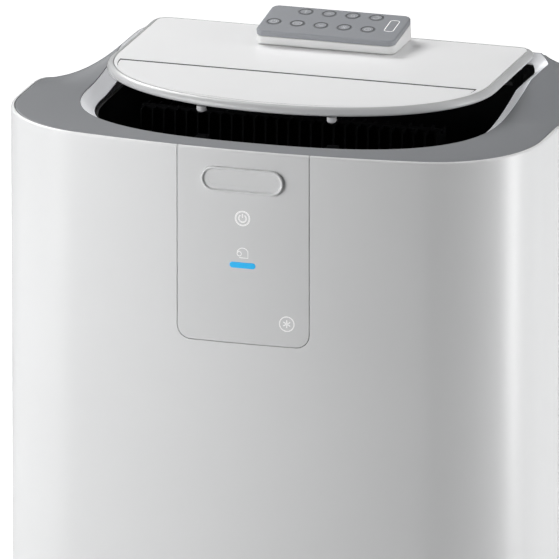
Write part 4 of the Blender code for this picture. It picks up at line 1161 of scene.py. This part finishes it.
def camera_only(tree, socket, strength):
    """A strength that only the camera sees, so that the white surroundings don't light the object."""
    path = tree.nodes.new("ShaderNodeLightPath")
    level = tree.nodes.new("ShaderNodeMath")
    level.operation = "MULTIPLY"
    if isinstance(strength, float):
        level.inputs[1].default_value = strength
    else:
        tree.links.new(strength, level.inputs[1])
    tree.links.new(path.outputs["Is Camera Ray"], level.inputs[0])
    tree.links.new(level.outputs["Value"], socket)


def add_floor():
    """White floor that the camera sees brighten away from the object, so that only its shadow shows."""
    bm = bmesh.new()
    bmesh.ops.create_grid(bm, x_segments=1, y_segments=1, size=30.0)
    floor = placed("floor", mesh_of("floor", bm))
    paper = bpy.data.materials.new("floor_white")
    paper.use_nodes = True
    nodes, links = paper.node_tree.nodes, paper.node_tree.links
    shader = nodes["Principled BSDF"]
    for socket, value in (("Base Color", (0.9, 0.9, 0.9, 1.0)), ("Roughness", 0.9),
                          ("Emission Color", (1.0, 1.0, 1.0, 1.0))):
        shader.inputs[socket].default_value = value
    place = nodes.new("ShaderNodeTexCoord")
    reach = nodes.new("ShaderNodeVectorMath")
    reach.operation = "LENGTH"
    fade = nodes.new("ShaderNodeMapRange")
    for socket, value in (("From Min", 0.35), ("From Max", 1.6), ("To Min", 0.62), ("To Max", 1.0)):
        fade.inputs[socket].default_value = value
    links.new(place.outputs["Object"], reach.inputs[0])
    links.new(reach.outputs["Value"], fade.inputs["Value"])
    camera_only(paper.node_tree, shader.inputs["Emission Strength"], fade.outputs["Result"])
    floor.data.materials.append(paper)


def add_camera():
    away = towards(AZIMUTH, ELEVATION)
    right = Vector((-away.y, away.x, 0.0)).normalized()
    aim = Vector((0.0, FRONT_Y, DECK_Z)) + right * AIM_RIGHT + away.cross(right) * AIM_UP
    data = bpy.data.cameras.new("camera")
    data.lens, data.sensor_width = LENS, SENSOR
    data.clip_end = 2 * LENS / SENSOR * VIEW_WIDTH
    camera = placed("camera", data)
    camera.location = aim + away * LENS / SENSOR * VIEW_WIDTH
    camera.rotation_euler = (-away).to_track_quat("-Z", "Y").to_euler()
    bpy.context.scene.camera = camera


def stage():
    """White floor and surroundings, soft boxes and the long-lens camera."""
    world = bpy.data.worlds.new("studio")
    bpy.context.scene.world = world
    world.use_nodes = True
    background = world.node_tree.nodes["Background"]
    background.inputs["Color"].default_value = (1.0, 1.0, 1.0, 1.0)
    camera_only(world.node_tree, background.inputs["Strength"], 1.0)
    add_floor()
    for name, settings in LIGHTS.items():
        soft_box(name, *settings)
    add_camera()
    bpy.context.scene.view_settings.view_transform = "Standard"


stage()
dress_cad()
front_casing()
rear_casing()
control_panel()
deck()
lid()
panel_details()
remote_control()
casters()
grips()
rear_details()
